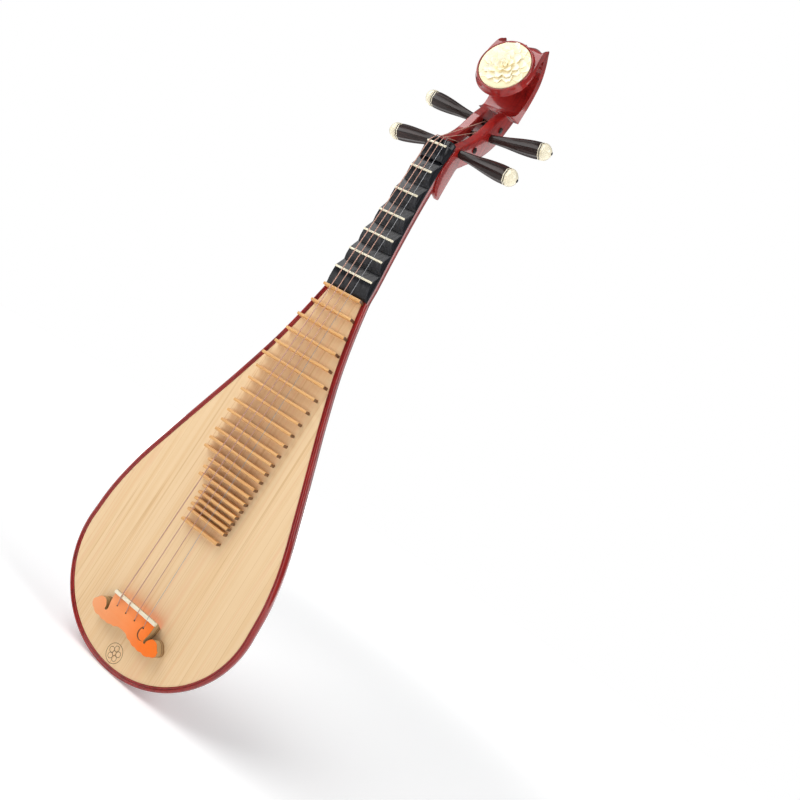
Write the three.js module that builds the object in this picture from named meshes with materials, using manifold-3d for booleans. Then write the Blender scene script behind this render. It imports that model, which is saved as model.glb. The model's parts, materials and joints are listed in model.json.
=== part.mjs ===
// A pipa: a pear-shaped lute with a fretted soundboard, a curved pegbox and a scroll head.
// Millimetres, +Z up along the neck, the strings face -Y, and +X is the viewer's right.
// Inside this file y = 0 is the plane of the soundboard's front; depths behind it are positive.
import * as THREE from "three";
import { mergeVertices } from "three/addons/utils/BufferGeometryUtils.js";
import Module from "manifold-3d";

const wasm = await Module();
wasm.setup();

// ---- Driving dimensions ----
const GAP = 0.3; // between pieces that are glued, seated or run in one another
const STRING_LENGTH = 710; // saddle to nut, which also sets every fret
const SADDLE_Z = 90;
const NUT_Z = SADDLE_Z + STRING_LENGTH;

const BOWL = { centreZ: 136, halfWidth: 150, depth: 55 };
const RIM = 7; // lacquered edge that shows round the soundboard
const LEDGE = 8; // wood under the soundboard's edge
const WALL = 9;
const BOARD_THICKNESS = 5;
const BOARD_TOP_Z = 565;
const NECK_END_Z = 792;

const SADDLE_HEIGHT = 18.5;
const NUT_HEIGHT = 15;
const STRING_SPACING = { saddle: 16.5, nut: 7.7 };
const STRING_RADII = [0.3, 0.5, 0.6, 0.7]; // first string to fourth

const PEGBOX = { halfWidth: 22, slotHalfWidth: 8.75, slotLowZ: 805, slotHighZ: 919 };
const PRONG = { innerX: 15.3, cheekX: 20.9, frontY: 16, lowZ: 746 };
const PLATE = { halfWidth: 14, lowZ: 747, highZ: 811, frontY: 25.3, thickness: 4.2, corner: 6 };
const PEG = {
  shoulder: 23.4, handleEnd: 102.5, capEnd: 116.5, tail: -24.5, nearRadius: 5.2, farRadius: 4.2,
};
// Each peg: its side (+1 is the viewer's right), where its axis crosses the middle of the pegbox,
// and its tilt in degrees towards the head.
const PEGS = [
  { side: 1, y: 15, z: 812, tilt: -3 },
  { side: -1, y: 43, z: 834, tilt: -7 },
  { side: 1, y: 64, z: 869, tilt: 7 },
  { side: -1, y: 75, z: 896, tilt: 5 },
];
const PEG_OF_STRING = [0, 2, 3, 1];

// The scroll head's front shield: an upright disc that widens towards its back.
const SHIELD = { y: 25, z: 960, frontRadius: 40.3, backRadius: 43.5, thickness: 9 };
const INLAY = { radius: 37, rise: 4.8 };

// ---- Finishes ----
const finish = (color, roughness, metalness = 0) =>
  new THREE.MeshStandardMaterial({ color, roughness, metalness });
const LACQUER = finish(0x8e1a14, 0.25);
const PAULOWNIA = finish(0xecd2a8, 0.6);
const BAMBOO = finish(0xdca468, 0.45);
const BRIDGE_BAMBOO = finish(0xe8965c, 0.45);
const EBONY = finish(0x1b1b20, 0.35);
const PEG_WOOD = finish(0x2e2322, 0.35);
const BONE = finish(0xf5efd8, 0.35);
const SPRUCE = finish(0xd9bd8c, 0.7);
const CARVING = finish(0xf3e9c0, 0.5);
const COPPER = finish(0xb9694f, 0.35, 0.9);
const STEEL = finish(0x9a9a9e, 0.3, 1);

const instrument = new THREE.Group();

function add(name, geometry, material) {
  const mesh = new THREE.Mesh(geometry, material);
  mesh.name = name;
  instrument.add(mesh);
  return mesh;
}

// ---- Solids ----
function toSolid(geometry) {
  const bare = geometry.clone();
  bare.deleteAttribute("normal");
  bare.deleteAttribute("uv");
  const merged = mergeVertices(bare, 1e-3);
  return new wasm.Manifold(new wasm.Mesh({
    numProp: 3,
    vertProperties: merged.attributes.position.array,
    triVerts: new Uint32Array(merged.index.array),
  }));
}

function fromSolid(solid) {
  const mesh = solid.getMesh();
  const geometry = new THREE.BufferGeometry();
  geometry.setAttribute("position", new THREE.BufferAttribute(mesh.vertProperties, 3));
  geometry.setIndex(new THREE.BufferAttribute(mesh.triVerts, 1));
  geometry.computeVertexNormals();
  return geometry;
}

const cut = (solid, ...geometries) =>
  geometries.reduce((left, geometry) => left.subtract(toSolid(geometry)), solid);

// A closed skin over rings of points, all with the same count; rings run anticlockwise as seen
// from the last ring looking back at the first.
function loft(rings) {
  const count = rings[0].length;
  const corners = rings.flat().flatMap((p) => [p.x, p.y, p.z]);
  const faces = [];
  for (let r = 0; r + 1 < rings.length; r += 1) {
    for (let i = 0; i < count; i += 1) {
      const a = r * count + i;
      const b = r * count + ((i + 1) % count);
      faces.push(a, b, b + count, a, b + count, a + count);
    }
  }
  const last = (rings.length - 1) * count;
  for (let i = 1; i + 1 < count; i += 1) {
    faces.push(0, i + 1, i);
    faces.push(last, last + i, last + i + 1);
  }
  const geometry = new THREE.BufferGeometry();
  geometry.setAttribute("position", new THREE.Float32BufferAttribute(corners, 3));
  geometry.setIndex(faces);
  return geometry;
}

function box(x0, x1, y0, y1, z0, z1) {
  const geometry = new THREE.BoxGeometry(x1 - x0, y1 - y0, z1 - z0);
  return geometry.translate((x0 + x1) / 2, (y0 + y1) / 2, (z0 + z1) / 2);
}

// A flat outline in x and z, given thickness from y0 to y1.
function plateXZ(shape, y0, y1, curveSegments = 8) {
  const geometry = new THREE.ExtrudeGeometry(shape, {
    depth: y1 - y0, bevelEnabled: false, curveSegments,
  });
  return geometry.rotateX(Math.PI / 2).translate(0, y1, 0);
}

// A side profile in y and z, given width from x0 to x1.
function profileYZ(points, x0, x1) {
  const shape = new THREE.Shape(points.map(([y, z]) => new THREE.Vector2(y, z)));
  const geometry = new THREE.ExtrudeGeometry(shape, { depth: x1 - x0, bevelEnabled: false });
  const turn = new THREE.Matrix4().makeBasis(
    new THREE.Vector3(0, 1, 0), new THREE.Vector3(0, 0, 1), new THREE.Vector3(1, 0, 0));
  return geometry.applyMatrix4(turn).translate(x0, 0, 0);
}

// ---- The body's outline ----
// Half-widths of the body and neck above the widest point, as [z, half-width].
const SHOULDERS = new THREE.SplineCurve([
  [136, 150], [184, 147], [233, 137], [290, 118], [349, 97], [411, 75], [482, 53], [565, 35],
  [592, 33], [653, 27], [722, 21.5], [800, 18.5],
].map(([z, w]) => new THREE.Vector2(z, w)));
const DEPTHS = new THREE.SplineCurve([
  [136, 55], [200, 54], [300, 49], [411, 40], [500, 33], [565, 30], [660, 27.5], [800, 26.5],
].map(([z, d]) => new THREE.Vector2(z, d)));

// The value of a spline at z, found by bisection; z grows along the spline.
function along(spline, z) {
  let low = 0;
  let high = 1;
  for (let i = 0; i < 30; i += 1) {
    const middle = (low + high) / 2;
    if (spline.getPoint(middle).x < z) low = middle;
    else high = middle;
  }
  return spline.getPoint(low).y;
}

const halfWidthAt = (z) => {
  if (z >= BOWL.centreZ) return along(SHOULDERS, z);
  const drop = (BOWL.centreZ - z) / BOWL.centreZ;
  return BOWL.halfWidth * Math.sqrt(Math.max(0, 1 - drop * drop));
};
const depthAt = (z) => {
  if (z >= BOWL.centreZ) return along(DEPTHS, z);
  const drop = (BOWL.centreZ - z) / BOWL.centreZ;
  return BOWL.depth * Math.max(0, 1 - drop * drop) ** 0.35;
};

// Heights for sections: even angles round the bowl's bottom, then even steps up the neck.
function stations(inset, topZ, arcs, steps) {
  const heights = [];
  for (let i = 0; i < arcs; i += 1) {
    const angle = THREE.MathUtils.lerp(0.16, Math.PI / 2, i / arcs);
    heights.push(BOWL.centreZ - (BOWL.centreZ - inset) * Math.cos(angle));
  }
  for (let i = 0; i <= steps; i += 1) {
    heights.push(THREE.MathUtils.lerp(BOWL.centreZ, topZ, i / steps));
  }
  return heights;
}

// One section of the body: a flat front and a rounded back.
function bodySection(z, halfWidth, front, depth, points) {
  const ring = [];
  for (let i = 0; i <= points; i += 1) {
    const angle = (Math.PI * i) / points;
    const x = Math.sign(Math.cos(angle)) * Math.abs(Math.cos(angle)) ** 0.87 * halfWidth;
    const y = front + Math.sin(angle) ** 0.87 * (depth - front);
    ring.push(new THREE.Vector3(x, y, z));
  }
  return ring;
}

// The bowl's inset outline on the front plane, drawn in x and z.
function outline(inset, topZ) {
  const lowHalf = BOWL.halfWidth - inset;
  const lowRise = BOWL.centreZ - inset;
  const right = [];
  for (let i = 0; i <= 14; i += 1) {
    const angle = (Math.PI / 2) * (i / 14);
    right.push([Math.sin(angle) * lowHalf, BOWL.centreZ - Math.cos(angle) * lowRise]);
  }
  for (let i = 1; i <= 14; i += 1) {
    const z = THREE.MathUtils.lerp(BOWL.centreZ, topZ, i / 14);
    right.push([halfWidthAt(z) - inset, z]);
  }
  const left = right.slice(1).reverse().map(([x, z]) => [-x, z]);
  return new THREE.Shape([...right, ...left].map(([x, z]) => new THREE.Vector2(x, z)));
}

// ---- Body and neck ----
function backAndNeck() {
  const heights = stations(0, NECK_END_Z, 9, 22);
  const shell = toSolid(loft(heights.map((z, i) =>
    bodySection(i ? z : 0, halfWidthAt(z), 0, depthAt(z), 20))));
  const pocket = plateXZ(outline(RIM - GAP, BOARD_TOP_Z + GAP), -1, BOARD_THICKNESS + GAP);
  const inner = RIM + LEDGE;
  const hollow = loft(stations(inner + 4, BOARD_TOP_Z - 20, 7, 12).map((z) =>
    bodySection(z, Math.max(halfWidthAt(z) - inner, 6), BOARD_THICKNESS, depthAt(z) - WALL, 14)));
  const plateSeat = box(-30, 30, PLATE.frontY - GAP, 40, PLATE.lowZ - 12, NECK_END_Z + 1);
  const prongSeats = [-1, 1].map((side) => {
    const inner0 = side * (PRONG.innerX - GAP);
    return box(Math.min(inner0, side * 30), Math.max(inner0, side * 30),
      PRONG.frontY - GAP, 40, PRONG.lowZ - GAP, NECK_END_Z + 1);
  });
  add("back_and_neck", fromSolid(cut(shell, pocket, hollow, plateSeat, ...prongSeats)), LACQUER);
}

function soundboard() {
  add("soundboard", plateXZ(outline(RIM, BOARD_TOP_Z), 0, BOARD_THICKNESS), PAULOWNIA);
  const braceFront = BOARD_THICKNESS + GAP;
  for (const [name, z] of [["upper_brace", 390], ["lower_brace", 215]]) {
    const reach = halfWidthAt(z + 6) - RIM - LEDGE - 6;
    add(name, box(-reach, reach, braceFront, braceFront + 10, z - 6, z + 6), SPRUCE);
  }
}

// ---- Frets, blocks, nut and bridge ----
const fretZ = (n) => SADDLE_Z + STRING_LENGTH * 2 ** (-n / 12);
const stringHeight = (z) =>
  THREE.MathUtils.mapLinear(z, SADDLE_Z, NUT_Z, SADDLE_HEIGHT, NUT_HEIGHT);
// The strings clear the first strip by 1 mm and the last fret by 7.5 mm.
const fretHeight = (z) =>
  stringHeight(z) - THREE.MathUtils.mapLinear(z, fretZ(1), fretZ(31), 1, 7.5);

const LONG_FRETS = [31, 34, 40, 43, 47, 54]; // half-widths of frets 7 to 12, as wide as the board
const RIGHT_END = [52, 45]; // the right-hand ends of the others close in slightly
function fretEnds(n) {
  if (n <= 12) return [-LONG_FRETS[n - 7], LONG_FRETS[n - 7]];
  const right = THREE.MathUtils.mapLinear(n, 13, 31, ...RIGHT_END);
  if (n <= 21) return [-50.5, right];
  if (n <= 24) return [-34, right];
  return [-19.5, right];
}

function frets() {
  const numbers = [];
  for (let n = 7; n <= 31; n += 1) if (n !== 30) numbers.push(n);
  numbers.forEach((n, i) => {
    const z = fretZ(n);
    const top = -fretHeight(z);
    const [left, right] = fretEnds(n);
    const section = [[-GAP, z - 2.2], [top + 1.5, z - 1.6], [top, z - 0.7], [top, z + 0.7],
      [top + 1.5, z + 1.6], [-GAP, z + 2.2]];
    add(`fret_${String(i + 1).padStart(2, "0")}`, profileYZ(section, left, right), BAMBOO);
  });
}

// A neck piece with its ridge under a bone strip and straight flanks down to shallow valleys.
function ridgedBlock(lowZ, ridgeZ, highZ, ridge, valleys, topHalf, strip) {
  const steps = [
    [lowZ, valleys[0]], [ridgeZ - strip, ridge], [ridgeZ + strip, ridge], [highZ, valleys[1]],
  ];
  return loft(steps.map(([z, height]) => {
    const base = halfWidthAt(z) - 0.6;
    const top = THREE.MathUtils.lerp(base - 0.5, Math.min(topHalf, base - 0.5), height / ridge);
    return [[base, -GAP], [-base, -GAP], [-top, -height], [top, -height]]
      .map(([x, y]) => new THREE.Vector3(x, y, z));
  }));
}

const STRIP_HALF_WIDTHS = [15.1, 16.8, 18.4, 20.8, 24.4, 27.2, 30.7]; // the nut's, then one per block
const STRIP = { halfDepth: 1.5, rise: 1.8 };

function neckStrip(name, z, top, halfWidth) {
  const section = [[-(top - STRIP.rise), z - STRIP.halfDepth], [-(top - 0.5), z - STRIP.halfDepth],
    [-top, z - 0.8], [-top, z + 0.8], [-(top - 0.5), z + STRIP.halfDepth],
    [-(top - STRIP.rise), z + STRIP.halfDepth]];
  add(name, profileYZ(section, -halfWidth, halfWidth), BONE);
}

function neckBlocks() {
  const edges = [0, 1, 2, 3, 4, 5, 6].map((n) => (fretZ(n) + fretZ(n + 1)) / 2);
  edges[6] = fretZ(7) + 4.5;
  for (let n = 1; n <= 6; n += 1) {
    const z = fretZ(n);
    const top = fretHeight(z);
    const ridge = top - STRIP.rise - GAP;
    const block = ridgedBlock(edges[n] + GAP / 2, z, edges[n - 1] - GAP / 2, ridge, [3.5, 3.5],
      STRIP_HALF_WIDTHS[n], STRIP.halfDepth);
    add(`neck_block_${n}`, block, EBONY);
    neckStrip(`neck_fret_${n}`, z, top, STRIP_HALF_WIDTHS[n]);
  }
  const nutRidge = NUT_HEIGHT - STRIP.rise - GAP;
  const nutBlock = ridgedBlock(edges[0] + GAP / 2, NUT_Z, NUT_Z + 11, nutRidge, [8, 10.5],
    STRIP_HALF_WIDTHS[0], STRIP.halfDepth);
  add("nut_block", nutBlock, EBONY);
  neckStrip("nut_strip", NUT_Z, NUT_HEIGHT, STRIP_HALF_WIDTHS[0]);
}

// The cloud outline of the bridge: right half from the saddle's end round to the foot's middle.
const BRIDGE_HALF = [
  [37.6, 0], [37.4, -12], [36.6, -18], [35.2, -24.5], [36.6, -28.4], [39.2, -26.6],
  [40.6, -22.6], [44, -19], [48.5, -17.6], [53.5, -19.4], [57.8, -23.6], [60.8, -28],
  [59.6, -32.6], [54.6, -36.8], [48.5, -39.2], [42, -40.3], [35, -40.6], [28, -40.2],
  [21, -39.4], [14, -37.6], [7.5, -35.2], [0, -34.2],
];
const BRIDGE_FRONT = -15.5;

function bridge() {
  const left = BRIDGE_HALF.slice(0, -1).reverse().map(([x, z]) => [-x, z]);
  const points = [...BRIDGE_HALF, ...left].map(([x, z]) => new THREE.Vector2(x, SADDLE_Z + z));
  // The wall under the saddle slopes back to a narrower foot.
  const slope = profileYZ([[1, SADDLE_Z - 8.5], [1, SADDLE_Z + 1], [-13, SADDLE_Z + 1],
    [-13, SADDLE_Z]], -45, 45);
  const plate = plateXZ(new THREE.Shape(points), BRIDGE_FRONT, -GAP);
  add("bridge", fromSolid(cut(toSolid(plate), slope)), BRIDGE_BAMBOO);
  const front = BRIDGE_FRONT - GAP;
  const section = [[front, SADDLE_Z - 4.5], [-(SADDLE_HEIGHT - 1.2), SADDLE_Z - 4.5],
    [-SADDLE_HEIGHT, SADDLE_Z - 2.4], [-SADDLE_HEIGHT, SADDLE_Z - 0.6], [front, SADDLE_Z]];
  add("bridge_saddle", profileYZ(section, -38, 38), BONE);
}

// ---- Strings ----
// A path of straight runs, with one step of the sweep for each run.
class Runs extends THREE.Curve {
  constructor(points) {
    super();
    this.points = points;
  }

  getPoint(t, target = new THREE.Vector3()) {
    const place = t * (this.points.length - 1);
    const index = Math.min(Math.floor(place), this.points.length - 2);
    return target.copy(this.points[index]).lerp(this.points[index + 1], place - index);
  }

  getPointAt(t, target) {
    return this.getPoint(t, target);
  }

  getTangentAt(t, target = new THREE.Vector3()) {
    const last = this.points.length - 1;
    const index = Math.round(t * last);
    const before = this.points[Math.max(index - 1, 0)];
    const here = this.points[index];
    const after = this.points[Math.min(index + 1, last)];
    const into = here.clone().sub(before).normalize();
    const out = after.clone().sub(here).normalize();
    return target.copy(into).add(out).normalize();
  }
}

function tube(points, radius, sides) {
  const section = new THREE.Shape();
  for (let i = 0; i < sides; i += 1) {
    const angle = (2 * Math.PI * i) / sides;
    const place = [radius * Math.cos(angle), radius * Math.sin(angle)];
    if (i) section.lineTo(...place);
    else section.moveTo(...place);
  }
  return new THREE.ExtrudeGeometry(section, {
    extrudePath: new Runs(points), steps: points.length - 1, bevelEnabled: false,
  });
}

const HITCH_Z = SADDLE_Z - 14.5; // where each string rises out of its hole in the bridge
const GROOVE = { z: NUT_Z + 12, y: -11.5, xs: [7.8, 2.8, -2.8, -7.8] };

function strings() {
  STRING_RADII.forEach((radius, i) => {
    const lift = radius + GAP;
    const place = 1.5 - i;
    const peg = PEGS[PEG_OF_STRING[i]];
    const start = new THREE.Vector2(GROOVE.y, GROOVE.z);
    const axis = new THREE.Vector2(peg.y, peg.z);
    const reach = PEG.nearRadius + lift;
    const run = axis.clone().sub(start);
    const swing = Math.asin(reach / run.length());
    const tangent = start.clone().add(run.clone()
      .rotateAround(new THREE.Vector2(), swing)
      .multiplyScalar(Math.cos(swing)));
    const saddleX = place * STRING_SPACING.saddle;
    add(`string_${i + 1}`, tube([
      new THREE.Vector3(saddleX, BRIDGE_FRONT - lift, HITCH_Z),
      new THREE.Vector3(saddleX, -SADDLE_HEIGHT - lift, SADDLE_Z - 1.5),
      new THREE.Vector3(place * STRING_SPACING.nut, -NUT_HEIGHT - lift, NUT_Z),
      new THREE.Vector3(GROOVE.xs[i], GROOVE.y, GROOVE.z),
      new THREE.Vector3(GROOVE.xs[i] * 0.8, tangent.x, tangent.y),
    ], radius, 8), i ? COPPER : STEEL);
  });
}

// ---- Pegs ----
// A solid turned about the peg's axis, from [distance along the axis, radius] pairs.
function turned(profile, sides, peg) {
  const points = profile.map(([s, r]) => new THREE.Vector2(r, s));
  const closed = [new THREE.Vector2(0, profile[0][0]), ...points,
    new THREE.Vector2(0, profile[profile.length - 1][0])];
  const distinct = closed.filter((p, i) => !i || p.distanceTo(closed[i - 1]) > 1e-6);
  const tilt = THREE.MathUtils.degToRad(peg.tilt);
  const outward = new THREE.Vector3(peg.side * Math.cos(tilt), 0, Math.sin(tilt));
  const turn = new THREE.Quaternion().setFromUnitVectors(new THREE.Vector3(0, 1, 0), outward);
  return new THREE.LatheGeometry(distinct, sides)
    .applyQuaternion(turn).translate(0, peg.y, peg.z);
}

const pegTaper = (s) =>
  THREE.MathUtils.mapLinear(s, PEGBOX.halfWidth, -PEGBOX.halfWidth, PEG.nearRadius, PEG.farRadius);

function pegs() {
  PEGS.forEach((peg, i) => {
    const shoulder = PEG.shoulder;
    const handle = [
      [PEG.tail, pegTaper(PEG.tail)], [shoulder, pegTaper(shoulder)], [shoulder, 5.8], [35, 6.2],
      [50, 7.6], [70, 10.2], [88, 11.8], [98, 12], [PEG.handleEnd, 11.5],
    ];
    const cap = [
      [PEG.handleEnd + GAP, 11.6], [104, 12], [109, 11], [113.5, 7.5], [PEG.capEnd, 0.001],
    ];
    add(`peg_${i + 1}`, turned(handle, 20, peg), PEG_WOOD);
    add(`peg_cap_${i + 1}`, turned(cap, 20, peg), BONE);
  });
}

// ---- Pegbox and neck plate ----
const smooth = (points, count) =>
  new THREE.SplineCurve(points.map(([y, z]) => new THREE.Vector2(y, z)))
    .getPoints(count).map((p) => [p.x, p.y]);

function pegbox() {
  const low = NECK_END_Z + GAP;
  const front = smooth([[0, 806], [23, 834], [39, 852], [48, 871], [54, 892], [67, 914]], 12);
  const rear = smooth([[99, 925], [95, 898], [87, 871], [75, 849], [59, 828], [43, 810]], 12);
  const side = [[0, low], ...front, ...rear, [29, 797], [29, low]];
  const shape = toSolid(profileYZ([...side].reverse(), -PEGBOX.halfWidth, PEGBOX.halfWidth));
  const prong = [[PRONG.frontY, PRONG.lowZ], [34, PRONG.lowZ], [31, 771], [29, 800],
    [PRONG.frontY, 800]];
  const prongs = [-1, 1].map((side_) => toSolid(profileYZ([...prong].reverse(),
    side_ < 0 ? -PEGBOX.halfWidth : PRONG.innerX, side_ < 0 ? -PRONG.innerX : PEGBOX.halfWidth)));
  const slotX = PEGBOX.slotHalfWidth;
  const slot = box(-slotX, slotX, -50, 150, PEGBOX.slotLowZ, PEGBOX.slotHighZ);
  const plateX = PLATE.halfWidth + 2 * GAP;
  const plateSeat = box(-plateX, plateX, PLATE.frontY - GAP, 100, low - 1, PLATE.highZ + 2 * GAP);
  const holes = PEGS.map((peg) => turned(
    [[-40, pegTaper(-40) + 0.4], [40, pegTaper(40) + 0.4]], 24, peg));
  // Each prong carries on forwards as a thin cheek beside the neck.
  const cheek = [[1, 800], [PRONG.frontY + 1, 800], [PRONG.frontY + 1, PRONG.lowZ + 0.5],
    [11, 750], [5, 758], [1, 768]];
  const cheeks = [-1, 1].map((side_) => toSolid(profileYZ(cheek,
    side_ < 0 ? -PEGBOX.halfWidth : PRONG.cheekX, side_ < 0 ? -PRONG.cheekX : PEGBOX.halfWidth)));
  const joined = [...prongs, ...cheeks].reduce((left, right) => left.add(right), shape);
  add("pegbox", fromSolid(cut(joined, slot, plateSeat, ...holes)), LACQUER);
}

function neckPlate() {
  const { halfWidth: w, corner: c, lowZ, highZ } = PLATE;
  const shape = new THREE.Shape([
    [w - c, lowZ], [w, lowZ + c], [w, highZ - c], [w - c, highZ],
    [c - w, highZ], [-w, highZ - c], [-w, lowZ + c], [c - w, lowZ],
  ].map(([x, z]) => new THREE.Vector2(x, z)));
  add("neck_back_plate", plateXZ(shape, PLATE.frontY, PLATE.frontY + PLATE.thickness), EBONY);
}

// ---- Scroll head ----
function scrollHead() {
  const station = (outer, inner, outerHalf, innerHalf = outerHalf) => {
    const [[y0, z0], [y1, z1]] = [outer, inner];
    return [[-outerHalf, y0, z0], [-innerHalf, y1, z1], [innerHalf, y1, z1], [outerHalf, y0, z0]]
      .map(([x, y, z]) => new THREE.Vector3(x, y, z));
  };
  // The rear wall from the pegbox up to the line of the two horns, and over it to the shield.
  const rings = [
    station([99, 925.4], [67.2, 914.6], 28.5, 26.5),
    station([98, 936], [82, 930], 29),
    station([96, 948], [82.5, 944], 30),
    station([93, 964], [81, 958], 31),
    station([86, 982], [76, 973], 32.5),
    station([74, 996], [66, 984], 34),
    station([61, 1007.5], [58, 992], 35),
    station([48.5, 1013], [48.5, 997], 35.5, 36.5),
    station([40, 1009], [42.5, 992], 37.4, 38.8),
    station([33, 1001], [38.5, 985], 38.9, 40.8),
    station([29.8, 988], [36, 975], 40, 42.2),
    station([28.6, 974], [34.4, 966], 40.6, 42.8),
    station([28, 960], [33.8, 958], 40.8, 43),
  ];
  // Behind the shield the ribbon narrows with the disc, down to its rounded foot.
  for (const drop of [14, 26, 35, 39.5]) {
    rings.push(station([28, SHIELD.z - drop], [33.8, SHIELD.z - drop],
      Math.sqrt(40.8 ** 2 - drop ** 2), Math.sqrt(43 ** 2 - drop ** 2)));
  }
  const sides = 36;
  const disc = loft([[0, -0.9], [0.9, 0], [SHIELD.thickness, 1]].map(([depth, grow]) => {
    const radius = grow > 0 ? SHIELD.backRadius : SHIELD.frontRadius + grow;
    return Array.from({ length: sides }, (_, i) => {
      const angle = (-2 * Math.PI * i) / sides;
      return new THREE.Vector3(
        radius * Math.cos(angle), SHIELD.y + depth, SHIELD.z + radius * Math.sin(angle));
    });
  }));
  add("head_scroll", fromSolid(toSolid(loft(rings)).add(toSolid(disc))), LACQUER);
}

function flowerInlay() {
  const sides = 32;
  const ring = (out, shrink) => Array.from({ length: sides }, (_, i) => {
    const angle = (2 * Math.PI * i) / sides;
    const radius = INLAY.radius * shrink;
    return new THREE.Vector3(
      radius * Math.cos(angle), SHIELD.y - GAP - out, SHIELD.z + radius * Math.sin(angle));
  });
  add("head_flower_inlay", loft([ring(0, 1), ring(2.2, 0.99), ring(INLAY.rise - 0.8, 0.87),
    ring(INLAY.rise, 0.55)]), CARVING);
}

backAndNeck();
soundboard();
frets();
neckBlocks();
bridge();
strings();
pegs();
pegbox();
neckPlate();
scrollHead();
flowerInlay();

// The row's frame has its origin at the middle of the base, so the depth is centred on it.
const bounds = new THREE.Box3().setFromObject(instrument);
instrument.position.y = -(bounds.min.y + bounds.max.y) / 2;

const pipa = new THREE.Group();
pipa.add(instrument);
export default pipa;
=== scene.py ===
import json
import math

import bmesh
import bpy
import numpy as np
from mathutils import Matrix, Vector


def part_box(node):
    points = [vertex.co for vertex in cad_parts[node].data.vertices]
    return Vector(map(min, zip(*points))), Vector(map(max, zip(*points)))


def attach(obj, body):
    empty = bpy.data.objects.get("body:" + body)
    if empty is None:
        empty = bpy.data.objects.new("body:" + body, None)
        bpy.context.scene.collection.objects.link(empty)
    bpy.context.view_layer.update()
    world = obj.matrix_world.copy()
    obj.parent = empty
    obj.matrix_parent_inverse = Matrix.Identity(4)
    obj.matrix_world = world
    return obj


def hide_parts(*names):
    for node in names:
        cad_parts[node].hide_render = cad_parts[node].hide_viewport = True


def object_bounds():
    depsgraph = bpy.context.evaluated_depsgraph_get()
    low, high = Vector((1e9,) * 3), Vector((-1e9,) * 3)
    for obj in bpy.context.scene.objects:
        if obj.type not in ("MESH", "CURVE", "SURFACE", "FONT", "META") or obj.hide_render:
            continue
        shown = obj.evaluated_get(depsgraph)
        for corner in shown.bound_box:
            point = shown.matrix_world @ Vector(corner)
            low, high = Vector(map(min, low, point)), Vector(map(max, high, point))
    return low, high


# A pipa: a pear-shaped lute with a pale soundboard in a red lacquered back, bamboo frets,
# ebony neck blocks, four fluted pegs and a scroll head with a carved flower.

bl_info = {
    "name": "Pipa Maker",
    "version": (1, 0, 0),
    "blender": (4, 5, 0),
    "location": "3D View > Sidebar > Pipa",
    "description": "Builds a pear-shaped lute around its packed frame",
    "category": "Add Mesh",
}

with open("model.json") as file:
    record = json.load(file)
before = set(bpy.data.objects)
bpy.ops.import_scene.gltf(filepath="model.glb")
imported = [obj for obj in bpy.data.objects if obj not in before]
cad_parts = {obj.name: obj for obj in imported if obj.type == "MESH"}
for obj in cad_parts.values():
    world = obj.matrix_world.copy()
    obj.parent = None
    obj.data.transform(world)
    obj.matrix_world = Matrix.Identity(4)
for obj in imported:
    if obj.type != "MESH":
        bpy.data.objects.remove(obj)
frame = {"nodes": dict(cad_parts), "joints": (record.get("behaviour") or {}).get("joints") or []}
CAD_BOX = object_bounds()

# ---- Places that come from the frame, in millimetres ----
MM = 0.001
MERGE_DISTANCE = 1e-6  # metres
ROOT = "instrument"


def node_box(node):
    """A node's corners in millimetres, with y measured back from the soundboard's face."""
    low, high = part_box(node)
    return (low - SHIFT) / MM, (high - SHIFT) / MM


SHIFT = Vector((0.0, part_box("soundboard")[0].y, 0.0))
SADDLE_Z = node_box("bridge_saddle")[1].z
NUT_Z = (node_box("nut_strip")[0].z + node_box("nut_strip")[1].z) / 2
BOARD_TOP = node_box("soundboard")[1].z
NECK_END = node_box("back_and_neck")[1].z
BOWL_HALF = node_box("back_and_neck")[1].x
BOWL_DEPTH = node_box("back_and_neck")[1].y
BOWL_CENTRE = 136.0
RIM = BOWL_HALF - node_box("soundboard")[1].x
BLOCK_COUNT = 6
PEG_COUNT = 4
FRET_NODES = sorted(n for n in frame["nodes"] if n.startswith("fret_"))


def at(x, y, z):
    """A point given in millimetres, y behind the soundboard's face, in the frame's metres."""
    return Vector((x, y, z)) * MM + SHIFT


def lerp(a, b, t):
    return a + (b - a) * t


def smooth_step(a, b, value):
    t = min(max((value - a) / (b - a), 0.0), 1.0)
    return t * t * (3 - 2 * t)


def spline(points, samples):
    """A smooth curve through the points, as evenly spaced samples; knots by chord length."""
    points = np.array(points, float)
    steps = np.sqrt(np.linalg.norm(np.diff(points, axis=0), axis=1))
    knots = np.concatenate([[0], np.cumsum(steps)])
    ends = np.vstack([2 * points[0] - points[1], points, 2 * points[-1] - points[-2]])
    tangents = (ends[2:] - ends[:-2]) / np.gradient(knots)[:, None] / 2
    out = []
    for s in np.linspace(0, knots[-1], samples):
        i = min(int(np.searchsorted(knots, s, side="right")) - 1, len(points) - 2)
        h = knots[i + 1] - knots[i]
        t = (s - knots[i]) / h
        out.append(
            points[i] * (2 * t**3 - 3 * t**2 + 1)
            + tangents[i] * h * (t**3 - 2 * t**2 + t)
            + points[i + 1] * (3 * t**2 - 2 * t**3)
            + tangents[i + 1] * h * (t**3 - t**2)
        )
    return [tuple(p) for p in out]


def value_along(points, where):
    """The second column of a smooth curve at a value of the first, which grows along it."""
    samples = spline(points, 160)
    return float(np.interp(where, [p[0] for p in samples], [p[1] for p in samples]))


# Half-widths and depths of the body and neck above the widest point, by height.
SHOULDERS = [
    (136, 150), (184, 147), (233, 137), (290, 118), (349, 97), (411, 75), (482, 53),
    (565, 35), (592, 33), (653, 27), (722, 21.5), (800, 18.5),
]
DEPTHS = [
    (136, 55), (200, 54), (300, 49), (411, 40), (500, 33), (565, 30), (660, 27.5), (800, 26.5),
]
SHOULDER_CURVE = spline(SHOULDERS, 240)
DEPTH_CURVE = spline(DEPTHS, 240)


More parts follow.
